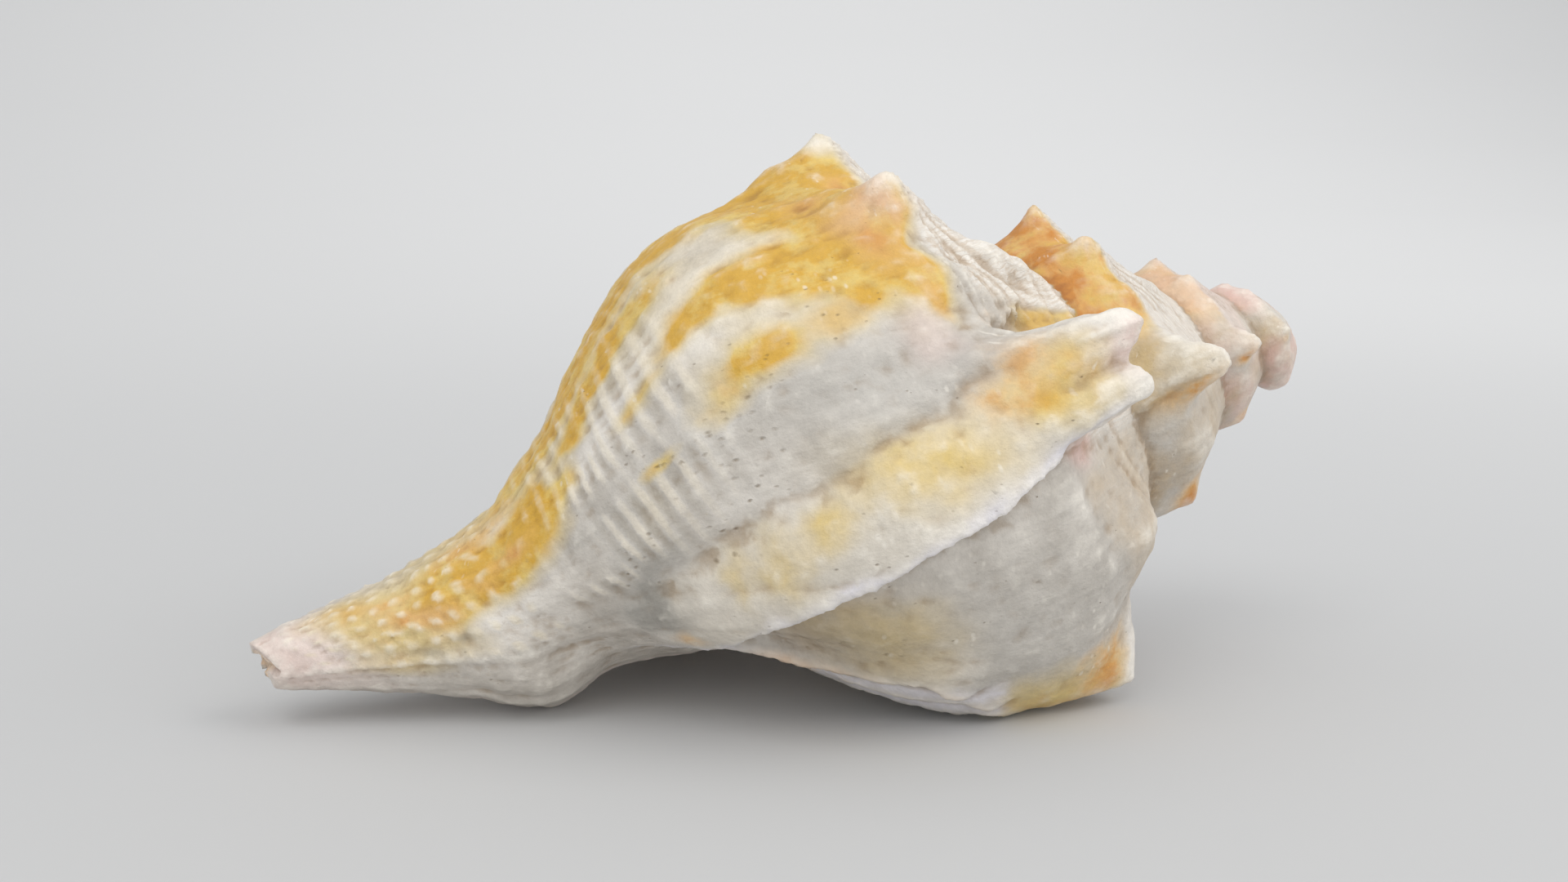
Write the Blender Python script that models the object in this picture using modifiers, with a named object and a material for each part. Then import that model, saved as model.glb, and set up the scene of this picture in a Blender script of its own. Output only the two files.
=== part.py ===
"""A worn triton shell lying on its mouth, apex to +X, in metres.

The shell is one solid. Its outside is a loft of cross-sections turned about
the coiling axis while they grow, so each whorl sits on the one before it.
The living chamber and the canal are cut out of it from below.
"""

import math

import bmesh
import bpy
import numpy as np

mm = 0.001

# The coil: one whorl is this many times the one before it. Angles are degrees
# round the axis from the side that faces -Y, over the back, down the far side.
whorl_ratio = 1.70
profile_turn = 90.0
belly_turn = -56.0
lip_turn = 210.5
first_turn = -1240.0
apex_at = (72.6, -3.3, 45.6)
axis_rise = 15.0
turn_step = 4.0
rows = 64
# Below the shoulder the section stops growing between these distances below the apex,
# so that every whorl shares the one canal.
canal_blend = (65.0, 109.0)
# The back changes into the belly from the first of these turns to belly_turn, and the
# belly into the pillar between the second pair.
belly_from = 50.0
pillar_blend = (-95.0, -128.0)
# Rows of the control points over which the flat of the belly fades into the canal.
flat_rows = (11.0, 8.0)

# Cross-section over the back of the last whorl, as (distance below the apex, radius) in mm:
# from inside the suture over the ramp and the shoulder to the tip of the canal.
back_line = [
    (41.6, 5.2), (44.4, 19.2), (49.0, 23.4), (54.6, 28.0), (60.5, 33.8), (66.8, 35.8),
    (75.0, 35.0), (84.2, 34.2), (92.6, 30.2), (100.9, 23.8), (107.1, 18.4), (114.9, 12.8),
    (122.7, 9.2), (130.0, 6.7), (137.4, 4.8), (144.8, 3.0), (147.4, 0.0),
]
# The same points along the corner of the belly, from which the underside runs flat to the mouth.
belly_line = [
    (33.6, 4.2), (35.9, 15.9), (39.6, 20.1), (44.1, 24.2), (48.9, 28.0), (55.0, 33.6),
    (63.0, 35.2), (70.4, 32.7), (79.0, 27.2), (87.0, 19.4), (95.5, 14.8), (105.5, 11.0),
    (113.5, 12.2), (122.5, 9.0), (131.0, 6.2), (143.0, 3.0), (147.4, 0.0),
]
# Inside the mouth and up the spire the whorl narrows to the pillar.
pillar_line = [
    (41.6, 5.2), (44.4, 19.6), (49.0, 24.8), (54.6, 29.9), (60.5, 34.6), (66.8, 35.8),
    (75.0, 34.2), (84.0, 29.0), (93.6, 22.0), (106.0, 14.5),
]
pillar_end = [(90.0, 8.6), (100.0, 8.0), (111.0, 7.4), (122.0, 6.0), (131.0, 4.8), (142.0, 2.8), (147.4, 0.0)]
# How far the canal sags under the axis, as (distance below the apex, drop).
canal_sag = [
    (80.0, 0.0), (90.0, 0.8), (100.0, 2.6), (108.0, 4.2), (115.0, 4.6), (122.0, 3.8),
    (130.0, 3.0), (137.0, 2.0), (148.4, 1.0),
]
shoulder_row = 4.0

# Knobs round one whorl: turn, row, move toward the canal, move outward, half width in
# degrees, half width in rows, and the share of their size that they keep on the spire.
knobs = [
    (188.0, 4.0, -2.0, 3.0, 8.0, 1.2, 1.0),
    (158.0, 4.0, -2.0, 3.5, 8.0, 1.2, 1.0),
    (128.0, 4.0, -1.0, 3.6, 7.5, 1.2, 1.0),
    (98.0, 4.0, 0.3, 7.0, 7.6, 1.2, 1.3),
    (67.0, 4.0, 3.2, 5.0, 7.4, 1.2, 1.0),
    (42.0, 3.8, 1.5, -3.0, 13.0, 1.4, 0.6),
    (56.0, 1.9, -3.0, 0.5, 7.0, 1.1, 0.6),
    (20.0, 3.8, -10.0, 6.6, 6.0, 0.9, 0.8),
    (8.0, 3.9, -7.5, 3.6, 5.5, 0.9, 0.8),
    (-24.0, 3.6, -7.0, 1.8, 12.0, 1.2, 0.7),
    (-58.0, 4.1, -2.6, 11.3, 9.0, 1.0, 0.9),
    (-96.0, 4.1, -2.0, 4.0, 9.0, 1.1, 0.5),
    (-126.0, 4.1, -2.0, 3.5, 9.0, 1.1, 0.6),
]
# Thick growth ridges: turn at the shoulder, change of turn down to the canal, height,
# half width along the coil and how far the crest leans back over its older side, in mm.
varices = [
    (10.5, -50.0, 3.4, 5.4, 2.5),
    (205.0, -6.0, 3.4, 6.0, 0.0),
]
varix_rows = (4.0, 12.0)
varix_fade_in = (1.5, 3.5)
varix_fade_out = (11.6, 8.6)
steep_side = 0.55
# The worn first whorl: turns it takes to settle, shift toward the apex in mm, swelling,
# and the turns over which its end closes.
worn_turns = 330.0
worn_shift = 1.8
worn_swell = 0.40
blunt_turns = 90.0

# Outline of the mouth at the lip, and of the chamber behind it as it is at the profile turn.
mouth_line = [
    (58.0, 27.0), (63.0, 33.0), (70.0, 37.0), (79.0, 38.0), (88.0, 35.0),
    (95.0, 29.5), (101.0, 22.5), (106.0, 15.5), (110.0, 11.0), (106.0, 9.6),
    (97.0, 9.8), (86.0, 10.4), (76.0, 12.6), (68.0, 17.0), (61.5, 22.0),
]
chamber_line = [
    (55.0, 21.0), (58.5, 24.5), (62.5, 28.0), (68.0, 30.5), (75.0, 30.2),
    (83.0, 27.4), (90.0, 22.6), (96.0, 16.0), (97.0, 11.0), (92.0, 9.4),
    (82.0, 9.6), (73.0, 10.2), (66.0, 12.0), (60.0, 15.0), (56.0, 18.0),
]
chamber_start = -330.0
chamber_end_turns = 60.0
chamber_step = 6.0
chamber_samples = 40
mouth_from = 130.0
# Slot under the canal: distance below the apex, half width inside, half width at its edge.
canal_slot = [(98.0, 3.6, 3.4), (110.0, 3.0, 2.4), (122.0, 2.2, 1.5), (134.0, 1.6, 1.0), (150.0, 1.4, 1.0)]
slot_turn = 236.0
slot_reach = 30.0
slot_samples = 9

voxel = 0.85
triangles = 9200


def growth(turn):
    return np.exp(math.log(whorl_ratio) / 360.0 * (np.asarray(turn, float) - profile_turn))


def ease(x, start, end):
    t = np.clip((np.asarray(x, float) - start) / (end - start), 0.0, 1.0)
    return t * t * (3.0 - 2.0 * t)


def spline_weights(count, samples, closed=False):
    """Catmull-Rom weights of each control point at evenly spaced places along the line."""
    last = count if closed else count - 1
    place = np.linspace(0.0, last, samples, endpoint=not closed)
    first = np.minimum(place.astype(int), last - 1)
    f = place - first
    four = 0.5 * np.stack([
        -f + 2 * f**2 - f**3,
        2 - 5 * f**2 + 3 * f**3,
        f + 4 * f**2 - 3 * f**3,
        -f**2 + f**3,
    ])
    weights = np.zeros((samples, count))
    row = np.arange(samples)
    for k in range(4):
        j = first + k - 1
        if closed:
            np.add.at(weights, (row, j % count), four[k])
            continue
        inner = (j >= 0) & (j < count)
        np.add.at(weights, (row[inner], j[inner]), four[k][inner])
        for out, near, next_one in ((j < 0, 0, 1), (j >= count, count - 1, count - 2)):
            np.add.at(weights, (row[out], near), 2 * four[k][out])
            np.add.at(weights, (row[out], next_one), -four[k][out])
    return place, weights


def control_points(turns):
    """Distance below the apex and radius of each outer control point, for each turn."""
    back = np.array(back_line)
    size = growth(turns)[:, None]
    fixed = growth(np.minimum(turns - lip_turn + 360.0, 0.0) + profile_turn)[:, None]
    to_canal = ease(back[:, 0], *canal_blend)[None]
    scale = size ** (1 - to_canal) * fixed ** to_canal
    lines = [back[:, k] * scale for k in (0, 1)]
    belly = ease(turns, belly_from, belly_turn)[:, None]
    under = np.radians(np.clip(turns, pillar_blend[1], belly_turn))[:, None]
    flat = math.sin(math.radians(belly_turn)) / np.sin(under)
    level = 1.0 + (flat - 1.0) * ease(np.arange(len(back)), *flat_rows)[None]
    below_shoulder = np.arange(len(back))[None] > shoulder_row
    for k, share in ((0, 1.0), (1, level)):
        mixed = lines[k] * (1 - belly) + np.array(belly_line)[:, k] * share * belly
        lines[k] = np.where(below_shoulder, mixed, back[:, k] * size)
    inside = ease(turns, *pillar_blend)[:, None]
    for k in (0, 1):
        narrow = np.concatenate([
            np.array(pillar_line)[:, k] * size,
            np.array(pillar_end)[:, k] * fixed,
        ], axis=1)
        lines[k] = lines[k] * (1 - inside) + narrow * inside
    return lines


def outer_surface(turns, samples):
    """Turn, distance below the apex and radius over a grid of turns by rows."""
    row, weights = spline_weights(len(back_line), samples)
    along, radius = (line @ weights.T for line in control_points(turns))
    turn = np.repeat(turns[:, None], samples, axis=1)
    row = np.repeat(row[None], len(turns), axis=0)
    whorls = range(math.ceil((lip_turn - first_turn) / 360.0) + 1)
    for at, at_row, forward, outward, wide, tall, keep in knobs:
        for back in whorls:
            size = float(growth(at - 360.0 * back)) * (keep if back else 1.0)
            reach = np.hypot((turn - at + 360.0 * back) / wide, (row - at_row) / tall)
            peak = np.exp(-reach ** 1.35)
            along = along + forward * size * peak
            radius = radius + outward * size * peak
    for at, slant, height, wide, lean in varices:
        for back in whorls:
            size = float(growth(at - 360.0 * back))
            crest = at - 360.0 * back + slant * ease(row, *varix_rows)
            off = np.radians(turn - crest) * np.maximum(radius, 1.0) / size
            ridge = np.exp(-(off / np.where(off > 0, wide, steep_side * wide)) ** 2)
            ridge *= ease(row, *varix_fade_in) * ease(row, *varix_fade_out)
            slope_along, slope_out = np.gradient(along, axis=1), np.gradient(radius, axis=1)
            length = np.hypot(slope_along, slope_out) + 1e-9
            along = along - slope_out / length * ridge * height * size
            radius = radius + slope_along / length * ridge * height * size
            turn = turn - np.degrees(ridge * lean * size / np.maximum(radius, 3.0))
    # The worn first whorl swells a little and closes to a blunt dome.
    worn = 1.0 - ease(turns, first_turn, first_turn + worn_turns)[:, None]
    along = along - worn_shift * worn
    radius = radius * (1.0 + worn_swell * worn)
    blunt = ease(turns, first_turn - 1.0, first_turn + blunt_turns)[:, None] ** 0.5
    middle = along[:, :1]
    return turn, middle + (along - middle) * blunt, radius * blunt


def to_world(turn, along, radius):
    rise = math.radians(axis_rise)
    axis = np.array([math.cos(rise), 0.0, math.sin(rise)])
    up = np.array([-math.sin(rise), 0.0, math.cos(rise)])
    toward_front = np.array([0.0, -1.0, 0.0])
    angle = np.radians(turn)
    drop = np.interp(along, *np.array(canal_sag).T)
    points = (
        np.array(apex_at)
        - axis * along[..., None]
        + toward_front * (radius * np.cos(angle))[..., None]
        + up * (radius * np.sin(angle) - drop)[..., None]
    )
    return points * mm


def loft(name, rings):
    """A closed mesh through the rings, its first and last ring filled."""
    count, around = rings.shape[:2]
    mesh = bmesh.new()
    verts = [[mesh.verts.new(p) for p in ring] for ring in rings.tolist()]
    for a, b in zip(verts, verts[1:]):
        for i in range(around):
            j = (i + 1) % around
            mesh.faces.new((a[i], b[i], b[j], a[j]))
    mesh.faces.new(verts[0])
    mesh.faces.new(verts[-1][::-1])
    bmesh.ops.recalc_face_normals(mesh, faces=mesh.faces)
    data = bpy.data.meshes.new(name)
    mesh.to_mesh(data)
    mesh.free()
    return bpy.data.objects.new(name, data)


def make_outside():
    turns = np.arange(first_turn, lip_turn + 0.5 * turn_step, turn_step)
    turns = np.append(turns[turns < lip_turn - 1.0], lip_turn)
    turn, along, radius = outer_surface(turns, rows)
    axis_start = np.stack([turn[:, 0], along[:, 0], 0.0 * radius[:, 0]], axis=-1)[:, None]
    grid = np.concatenate([axis_start, np.stack([turn, along, radius], axis=-1)], axis=1)
    return loft("shell", to_world(*np.moveaxis(grid, -1, 0)))


def make_chamber():
    turns = np.arange(chamber_start, lip_turn, chamber_step)
    turns = np.append(turns, (lip_turn, lip_turn + chamber_step))
    _, weights = spline_weights(len(mouth_line), chamber_samples, closed=True)
    mouth = ease(turns, mouth_from, lip_turn)[:, None]
    size = growth(turns)[:, None]
    lines = [
        (np.array(chamber_line)[:, k] * size) * (1 - mouth) + np.array(mouth_line)[:, k] * mouth
        for k in (0, 1)
    ]
    along, radius = (line @ weights.T for line in lines)
    narrow = ease(turns, chamber_start - 1.0, chamber_start + chamber_end_turns)[:, None] ** 0.5
    centre_along, centre_out = along.mean(axis=1)[:, None], radius.mean(axis=1)[:, None]
    along = centre_along + (along - centre_along) * narrow
    radius = centre_out + (radius - centre_out) * narrow
    turn = np.repeat(turns[:, None], chamber_samples, axis=1)
    return loft("chamber", to_world(turn, along, radius))


def make_slot():
    """A keyhole-shaped cutter along the canal, open to the underside."""
    rings = []
    for along, inner, edge in canal_slot:
        half = np.radians(np.linspace(-90.0, -270.0, slot_samples))
        across = np.concatenate([[edge, -edge], inner * np.sin(half + math.pi)[::-1]])
        out = np.concatenate([[slot_reach, slot_reach], inner * np.cos(half)])
        turn = slot_turn + np.degrees(np.arctan2(across, out))
        rings.append(to_world(turn, np.full(len(out), along), np.hypot(across, out)))
    return loft("canal_slot", np.array(rings))


def add_remesh(item, name):
    remesh = item.modifiers.new(name, "REMESH")
    remesh.mode = "VOXEL"
    remesh.voxel_size = voxel * mm


def clear_scene():
    for item in list(bpy.data.objects):
        bpy.data.objects.remove(item, do_unlink=True)


def main():
    clear_scene()
    pieces = bpy.data.collections.new("triton_shell")
    cutters = bpy.data.collections.new("cutters")
    for group in (pieces, cutters):
        bpy.context.scene.collection.children.link(group)
    cutters.hide_render = True

    shell = make_outside()
    pieces.objects.link(shell)
    add_remesh(shell, "join_whorls")
    for cutter in (make_chamber(), make_slot()):
        cutters.objects.link(cutter)
        cutter.hide_render = True
        cutter.display_type = "WIRE"
        cut = shell.modifiers.new("cut_" + cutter.name, "BOOLEAN")
        cut.operation = "DIFFERENCE"
        cut.object = cutter
    add_remesh(shell, "even_faces")
    bpy.context.view_layer.update()
    faces = len(shell.evaluated_get(bpy.context.evaluated_depsgraph_get()).data.polygons)
    thin = shell.modifiers.new("fewer_faces", "DECIMATE")
    thin.use_collapse_triangulate = True
    thin.ratio = triangles / (2.0 * faces)

    chalk = bpy.data.materials.new("worn_shell")
    chalk.use_nodes = True
    finish = chalk.node_tree.nodes["Principled BSDF"]
    finish.inputs["Base Color"].default_value = (0.80, 0.70, 0.52, 1.0)
    finish.inputs["Roughness"].default_value = 0.45
    finish.inputs["Metallic"].default_value = 0.0
    shell.data.materials.append(chalk)
    for face in shell.data.polygons:
        face.use_smooth = True
    shell.data.set_sharp_from_angle(angle=math.radians(50.0))


main()
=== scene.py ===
import math
import bpy
import numpy as np
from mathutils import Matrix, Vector
from mathutils.bvhtree import BVHTree


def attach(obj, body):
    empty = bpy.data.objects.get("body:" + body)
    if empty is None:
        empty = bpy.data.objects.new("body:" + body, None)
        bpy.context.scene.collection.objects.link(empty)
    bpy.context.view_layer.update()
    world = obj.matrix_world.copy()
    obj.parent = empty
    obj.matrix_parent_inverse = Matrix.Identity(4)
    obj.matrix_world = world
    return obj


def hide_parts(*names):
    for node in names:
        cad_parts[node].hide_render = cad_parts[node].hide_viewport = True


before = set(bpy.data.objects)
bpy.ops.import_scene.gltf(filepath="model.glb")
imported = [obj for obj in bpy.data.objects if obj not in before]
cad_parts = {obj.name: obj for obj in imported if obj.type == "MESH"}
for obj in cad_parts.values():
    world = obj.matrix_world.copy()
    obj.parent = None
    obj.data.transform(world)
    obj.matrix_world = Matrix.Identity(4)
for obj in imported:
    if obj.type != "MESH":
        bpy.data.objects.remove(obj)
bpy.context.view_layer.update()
mm = 0.001

# the coil, in millimetres and degrees; turns run from the near side over the back
coil = {
    "whorlRatio": 1.70,        # each whorl is this many times the one before it
    "profileTurn": 90.0,       # the turn at which backLine holds
    "bellyFrom": 50.0, "bellyTurn": -56.0,      # turns between which bellyLine takes over
    "pillarBlend": (-95.0, -128.0),             # turns over which pillarLine takes over
    "flatRows": (11.0, 8.0),                    # rows over which the flat underside ends
    "canalBlend": (65.0, 109.0),                # the canal, past these, doesn't grow with the whorl
    "firstTurn": -1240.0, "lipTurn": 210.5,     # the first whorl and the edge of the lip
    "apexAt": (72.6, -3.3, 45.6), "axisRise": 15.0,
    "shoulderRow": 4.0,
    "wornTurns": 330.0, "wornShift": 1.8, "wornSwell": 0.40, "bluntTurns": 90.0,      # the worn apex
    "rowSize": 9.4, "whorlShift": 40.0,         # mm a row, mm that sets the patterns of two whorls apart
}
# distance below the apex and radius, from the suture over the shoulder to the canal tip
backLine = [
    (41.6, 5.2), (44.4, 19.2), (49.0, 23.4), (54.6, 28.0), (60.5, 33.8), (66.8, 35.8),
    (75.0, 35.0), (84.2, 34.2), (92.6, 30.2), (100.9, 23.8), (107.1, 18.4), (114.9, 12.8),
    (122.7, 9.2), (130.0, 6.7), (137.4, 4.8), (144.8, 3.0), (147.4, 0.0),
]
bellyLine = [
    (33.6, 4.2), (35.9, 15.9), (39.6, 20.1), (44.1, 24.2), (48.9, 28.0), (55.0, 33.6),
    (63.0, 35.2), (70.4, 32.7), (79.0, 27.2), (87.0, 19.4), (95.5, 14.8), (105.5, 11.0),
    (113.5, 12.2), (122.5, 9.0), (131.0, 6.2), (143.0, 3.0), (147.4, 0.0),
]
pillarLine = [
    (41.6, 5.2), (44.4, 19.6), (49.0, 24.8), (54.6, 29.9), (60.5, 34.6), (66.8, 35.8),
    (75.0, 34.2), (84.0, 29.0), (93.6, 22.0), (106.0, 14.5), (90.0, 8.6), (100.0, 8.0),
    (111.0, 7.4), (122.0, 6.0), (131.0, 4.8), (142.0, 2.8), (147.4, 0.0),
]
canalSag = [
    (80.0, 0.0), (90.0, 0.8), (100.0, 2.6), (108.0, 4.2), (115.0, 4.6), (122.0, 3.8),
    (130.0, 3.0), (137.0, 2.0), (148.4, 1.0),
]
# turn, row, toward the canal, outward, half width in degrees on the younger and the older side,
# half width in rows toward the canal and toward the suture, share kept on the spire, bluntness
knobs = [
    (188.0, 4.0, -2.0, 3.0, 8.0, 8.0, 1.2, 1.2, 1.0, 1.35),
    (158.0, 4.0, -2.0, 3.5, 8.0, 8.0, 1.2, 1.2, 1.0, 1.35),
    (128.0, 4.0, -1.0, 3.6, 7.5, 7.5, 1.2, 1.2, 1.0, 1.35),
    (97.5, 4.0, 0.2, 7.2, 6.4, 5.6, 0.85, 0.8, 1.2, 1.35),
    (98.0, 5.2, 0.0, 1.1, 7.0, 7.0, 0.55, 0.45, 0.0, 2.0),
    (82.0, 4.0, 0.0, -2.2, 4.5, 4.5, 1.0, 1.2, 0.6, 2.0),
    (66.0, 4.05, 2.2, 5.5, 5.0, 4.8, 1.05, 0.48, 1.0, 1.5),
    (36.0, 4.0, 1.5, -3.6, 10.0, 10.0, 1.1, 1.6, 0.4, 2.0),
    (56.0, 2.6, -1.0, 2.4, 6.0, 4.0, 1.0, 1.0, 0.4, 2.2),
    (54.0, 4.05, 3.4, 0.4, 7.5, 6.5, 0.9, 1.3, 0.7, 2.0),
    (23.8, 3.80, -11.6, 7.2, 5.4, 6.35, 1.15, 0.45, 0.0, 2.8),
    (11.8, 3.85, -10.0, 5.5, 6.1, 4.6, 1.05, 0.42, 0.0, 2.7),
    (7.0, 4.85, 0.0, -2.0, 6.0, 4.5, 0.35, 0.35, 0.0, 2.0),
    (-29.0, 3.5, -7.0, 1.8, 14.0, 20.0, 1.2, 1.4, 0.5, 1.6),
    (-58.0, 4.1, -1.6, 11.3, 9.0, 9.0, 1.0, 1.0, 0.42, 1.35),
    (-96.0, 4.1, -2.0, 4.0, 9.0, 9.0, 1.1, 1.1, 0.3, 1.35),
    (-126.0, 4.1, -2.0, 3.5, 9.0, 9.0, 1.1, 1.1, 0.4, 1.35),
]
# the same for what only the spire has; the oldest whorls have worn away
spireKnobs = [
    (9.0, 3.9, -10.0, 4.6, 12.0, 8.0, 1.1, 0.42, 1.0, 2.5),
    (-70.0, 6.2, 0.0, 6.0, 28.0, 24.0, 1.6, 1.4, 1.0, 2.0),
]
wornShares = (1.0, 1.0, 0.72, 0.42, 0.15, 0.0)
knobReach = 6.0                # half widths round the coil that a knob is worked out over
# older whorls sit lower and nearer to the canal on their under side
spireTuck = {"turn": -48.0, "wide": 46.0, "shift": 2.4, "rows": (1.5, 4.0)}
varix = {
    # row and turn of points on the sharp older edge; height, half width and backward lean in mm
    "near": {
        "edge": [
            (4.4, 9.0), (5.0, 7.5), (5.9, 1.5), (6.8, -1.5), (7.2, -4.5),
            (8.0, -8.0), (8.6, -13.0), (9.2, -21.0), (10.5, -34.0),
        ],
        "height": 3.4, "wide": 9.5, "lean": 2.3, "keep": 0.4,
    },
    "far": {"edge": [(4.0, 199.0), (12.0, 193.0)], "height": 3.4, "wide": 11.0, "lean": 0.0, "keep": 1.0},
    "fadeIn": (4.0, 5.1), "fadeOut": (11.0, 9.0), "edgeWidth": 0.75, "fullness": 0.8,
}
# thin edges where one layer of shell ends on another: row and turn of its points, rows over which
# it fades in and out, height and width in mm
ledges = [
    {"edge": [(6.0, -43.0), (10.5, -43.0)], "fadeIn": (6.3, 7.1), "fadeOut": (10.5, 9.7),
     "height": 1.0, "wide": 3.2},
    {"edge": [(6.0, -48.5), (10.0, -48.5)], "fadeIn": (5.9, 6.7), "fadeOut": (9.9, 9.1),
     "height": 1.0, "wide": 3.0},
    {"edge": [(6.0, -54.0), (10.0, -54.0)], "fadeIn": (5.7, 6.5), "fadeOut": (9.3, 8.5),
     "height": 0.9, "wide": 3.0},
    {"edge": [(2.4, 48.0), (3.1, 41.5), (3.9, 35.5), (4.6, 30.5)], "fadeIn": (2.4, 3.1),
     "fadeOut": (5.0, 4.2), "height": 1.1, "wide": 6.0},
]


def growth(turn):
    return np.exp(math.log(coil["whorlRatio"]) / 360.0 * (np.asarray(turn, float) - coil["profileTurn"]))


def ease(x, start, end):
    t = np.clip((np.asarray(x, float) - start) / (end - start), 0.0, 1.0)
    return t * t * (3.0 - 2.0 * t)


def splineWeights(count, samples, closed=False):
    last = count if closed else count - 1
    place = np.linspace(0.0, last, samples, endpoint=not closed)
    first = np.minimum(place.astype(int), last - 1)
    f = place - first
    four = 0.5 * np.stack([
        -f + 2 * f**2 - f**3, 2 - 5 * f**2 + 3 * f**3, f + 4 * f**2 - 3 * f**3, -f**2 + f**3,
    ])
    weights = np.zeros((samples, count))
    row = np.arange(samples)
    for k in range(4):
        j = first + k - 1
        if closed:
            np.add.at(weights, (row, j % count), four[k])
            continue
        inner = (j >= 0) & (j < count)
        np.add.at(weights, (row[inner], j[inner]), four[k][inner])
        for out, near, nextOne in ((j < 0, 0, 1), (j >= count, count - 1, count - 2)):
            np.add.at(weights, (row[out], near), 2 * four[k][out])
            np.add.at(weights, (row[out], nextOne), -four[k][out])
    return place, weights


def controlLines(turns):
    back, belly, pillar = np.array(backLine), np.array(bellyLine), np.array(pillarLine)
    size = growth(turns)[:, None]
    fixed = growth(np.minimum(turns - coil["lipTurn"] + 360.0, 0.0) + coil["profileTurn"])[:, None]
    toCanal = ease(back[:, 0], *coil["canalBlend"])[None]
    scale = size ** (1 - toCanal) * fixed ** toCanal
    onBelly = ease(turns, coil["bellyFrom"], coil["bellyTurn"])[:, None]
    under = np.radians(np.clip(turns, coil["pillarBlend"][1], coil["bellyTurn"]))[:, None]
    flat = math.sin(math.radians(coil["bellyTurn"])) / np.sin(under)
    level = 1.0 + (flat - 1.0) * ease(np.arange(len(back)), *coil["flatRows"])[None]
    inside = ease(turns, *coil["pillarBlend"])[:, None]
    lines = []
    for k, share in ((0, 1.0), (1, level)):
        mixed = back[:, k] * scale * (1 - onBelly) + belly[:, k] * share * onBelly
        line = np.where(np.arange(len(back))[None] > coil["shoulderRow"], mixed, back[:, k] * size)
        narrow = np.concatenate([pillar[:10, k] * size, pillar[10:, k] * fixed], axis=1)
        lines.append(line * (1 - inside) + narrow * inside)
    return lines


def outerSheet(turns, samples):
    row, weights = splineWeights(len(backLine), samples)
    along, radius = (line @ weights.T for line in controlLines(turns))
    turn = np.repeat(turns[:, None], samples, axis=1)
    row = np.repeat(row[None], len(turns), axis=0)
    whorls = range(math.ceil((coil["lipTurn"] - coil["firstTurn"]) / 360.0) + 1)
    allKnobs = [(1.0, knob) for knob in knobs] + [(0.0, knob) for knob in spireKnobs]
    for lastShare, (at, atRow, forward, outward, young, old, below, above, keep, blunt) in allKnobs:
        for back in whorls:
            near = np.abs(turns - at + 360.0 * back) < knobReach * max(young, old)
            size = float(growth(at - 360.0 * back)) * (keep * wornShares[back] if back else lastShare)
            across, down = turn[near] - at + 360.0 * back, row[near] - atRow
            across = across / np.where(across > 0, young, old)
            down = down / np.where(down > 0, below, above)
            peak = np.exp(-np.hypot(across, down) ** blunt)
            along[near] += forward * size * peak
            radius[near] += outward * size * peak
    for back in whorls[1:]:
        under = np.exp(-((turn - spireTuck["turn"] + 360.0 * back) / spireTuck["wide"]) ** 2)
        shift = spireTuck["shift"] * growth(spireTuck["turn"] - 360.0 * back)
        along += shift * under * ease(row, *spireTuck["rows"])
    for ridge in (varix["near"], varix["far"]):
        for back in whorls:
            middle = np.interp(row, *np.array(ridge["edge"]).T) - 360.0 * back
            size = float(growth(ridge["edge"][0][1] - 360.0 * back))
            off = np.radians(turn - middle) * np.maximum(radius, 1.0) / size
            dome = np.clip(1.0 - (off / ridge["wide"]) ** 2, 0.0, 1.0) ** varix["fullness"]
            roll = np.where(off > 0, dome, np.exp(-(off / varix["edgeWidth"]) ** 2))
            keep = ridge["keep"] if back else 1.0
            roll *= ease(row, *varix["fadeIn"]) * ease(row, *varix["fadeOut"]) * keep
            slopeAlong, slopeOut = np.gradient(along, axis=1), np.gradient(radius, axis=1)
            length = np.hypot(slopeAlong, slopeOut) + 1e-9
            along = along - slopeOut / length * roll * ridge["height"] * size
            radius = radius + slopeAlong / length * roll * ridge["height"] * size
            turn = turn - np.degrees(roll * ridge["lean"] * size / np.maximum(radius, 3.0))
    worn = 1.0 - ease(turns, coil["firstTurn"], coil["firstTurn"] + coil["wornTurns"])[:, None]
    along = along - coil["wornShift"] * worn
    radius = radius * (1.0 + coil["wornSwell"] * worn)
    blunt = ease(turns, coil["firstTurn"] - 1.0, coil["firstTurn"] + coil["bluntTurns"])[:, None] ** 0.5
    middle = along[:, :1]
    return turn, middle + (along - middle) * blunt, radius * blunt


def toWorld(turn, along, radius):
    rise = math.radians(coil["axisRise"])
    axis = np.array([math.cos(rise), 0.0, math.sin(rise)])
    up = np.array([-math.sin(rise), 0.0, math.cos(rise)])
    front = np.array([0.0, -1.0, 0.0])
    angle = np.radians(turn)
    drop = np.interp(along, *np.array(canalSag).T)
    points = (
        np.array(coil["apexAt"]) - axis * along[..., None]
        + front * (radius * np.cos(angle))[..., None]
        + up * (radius * np.sin(angle) - drop)[..., None]
    )
    return points * mm


def plainMesh(name, points, faces):
    data = bpy.data.meshes.new(name)
    data.vertices.add(len(points))
    data.vertices.foreach_set("co", np.ascontiguousarray(points, np.float32).ravel())
    data.loops.add(faces.size)
    data.loops.foreach_set("vertex_index", np.ascontiguousarray(faces, np.int32).ravel())
    data.polygons.add(len(faces))
    data.polygons.foreach_set("loop_start", np.arange(0, faces.size, faces.shape[1], dtype=np.int32))
    data.update(calc_edges=True)
    return data


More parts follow.
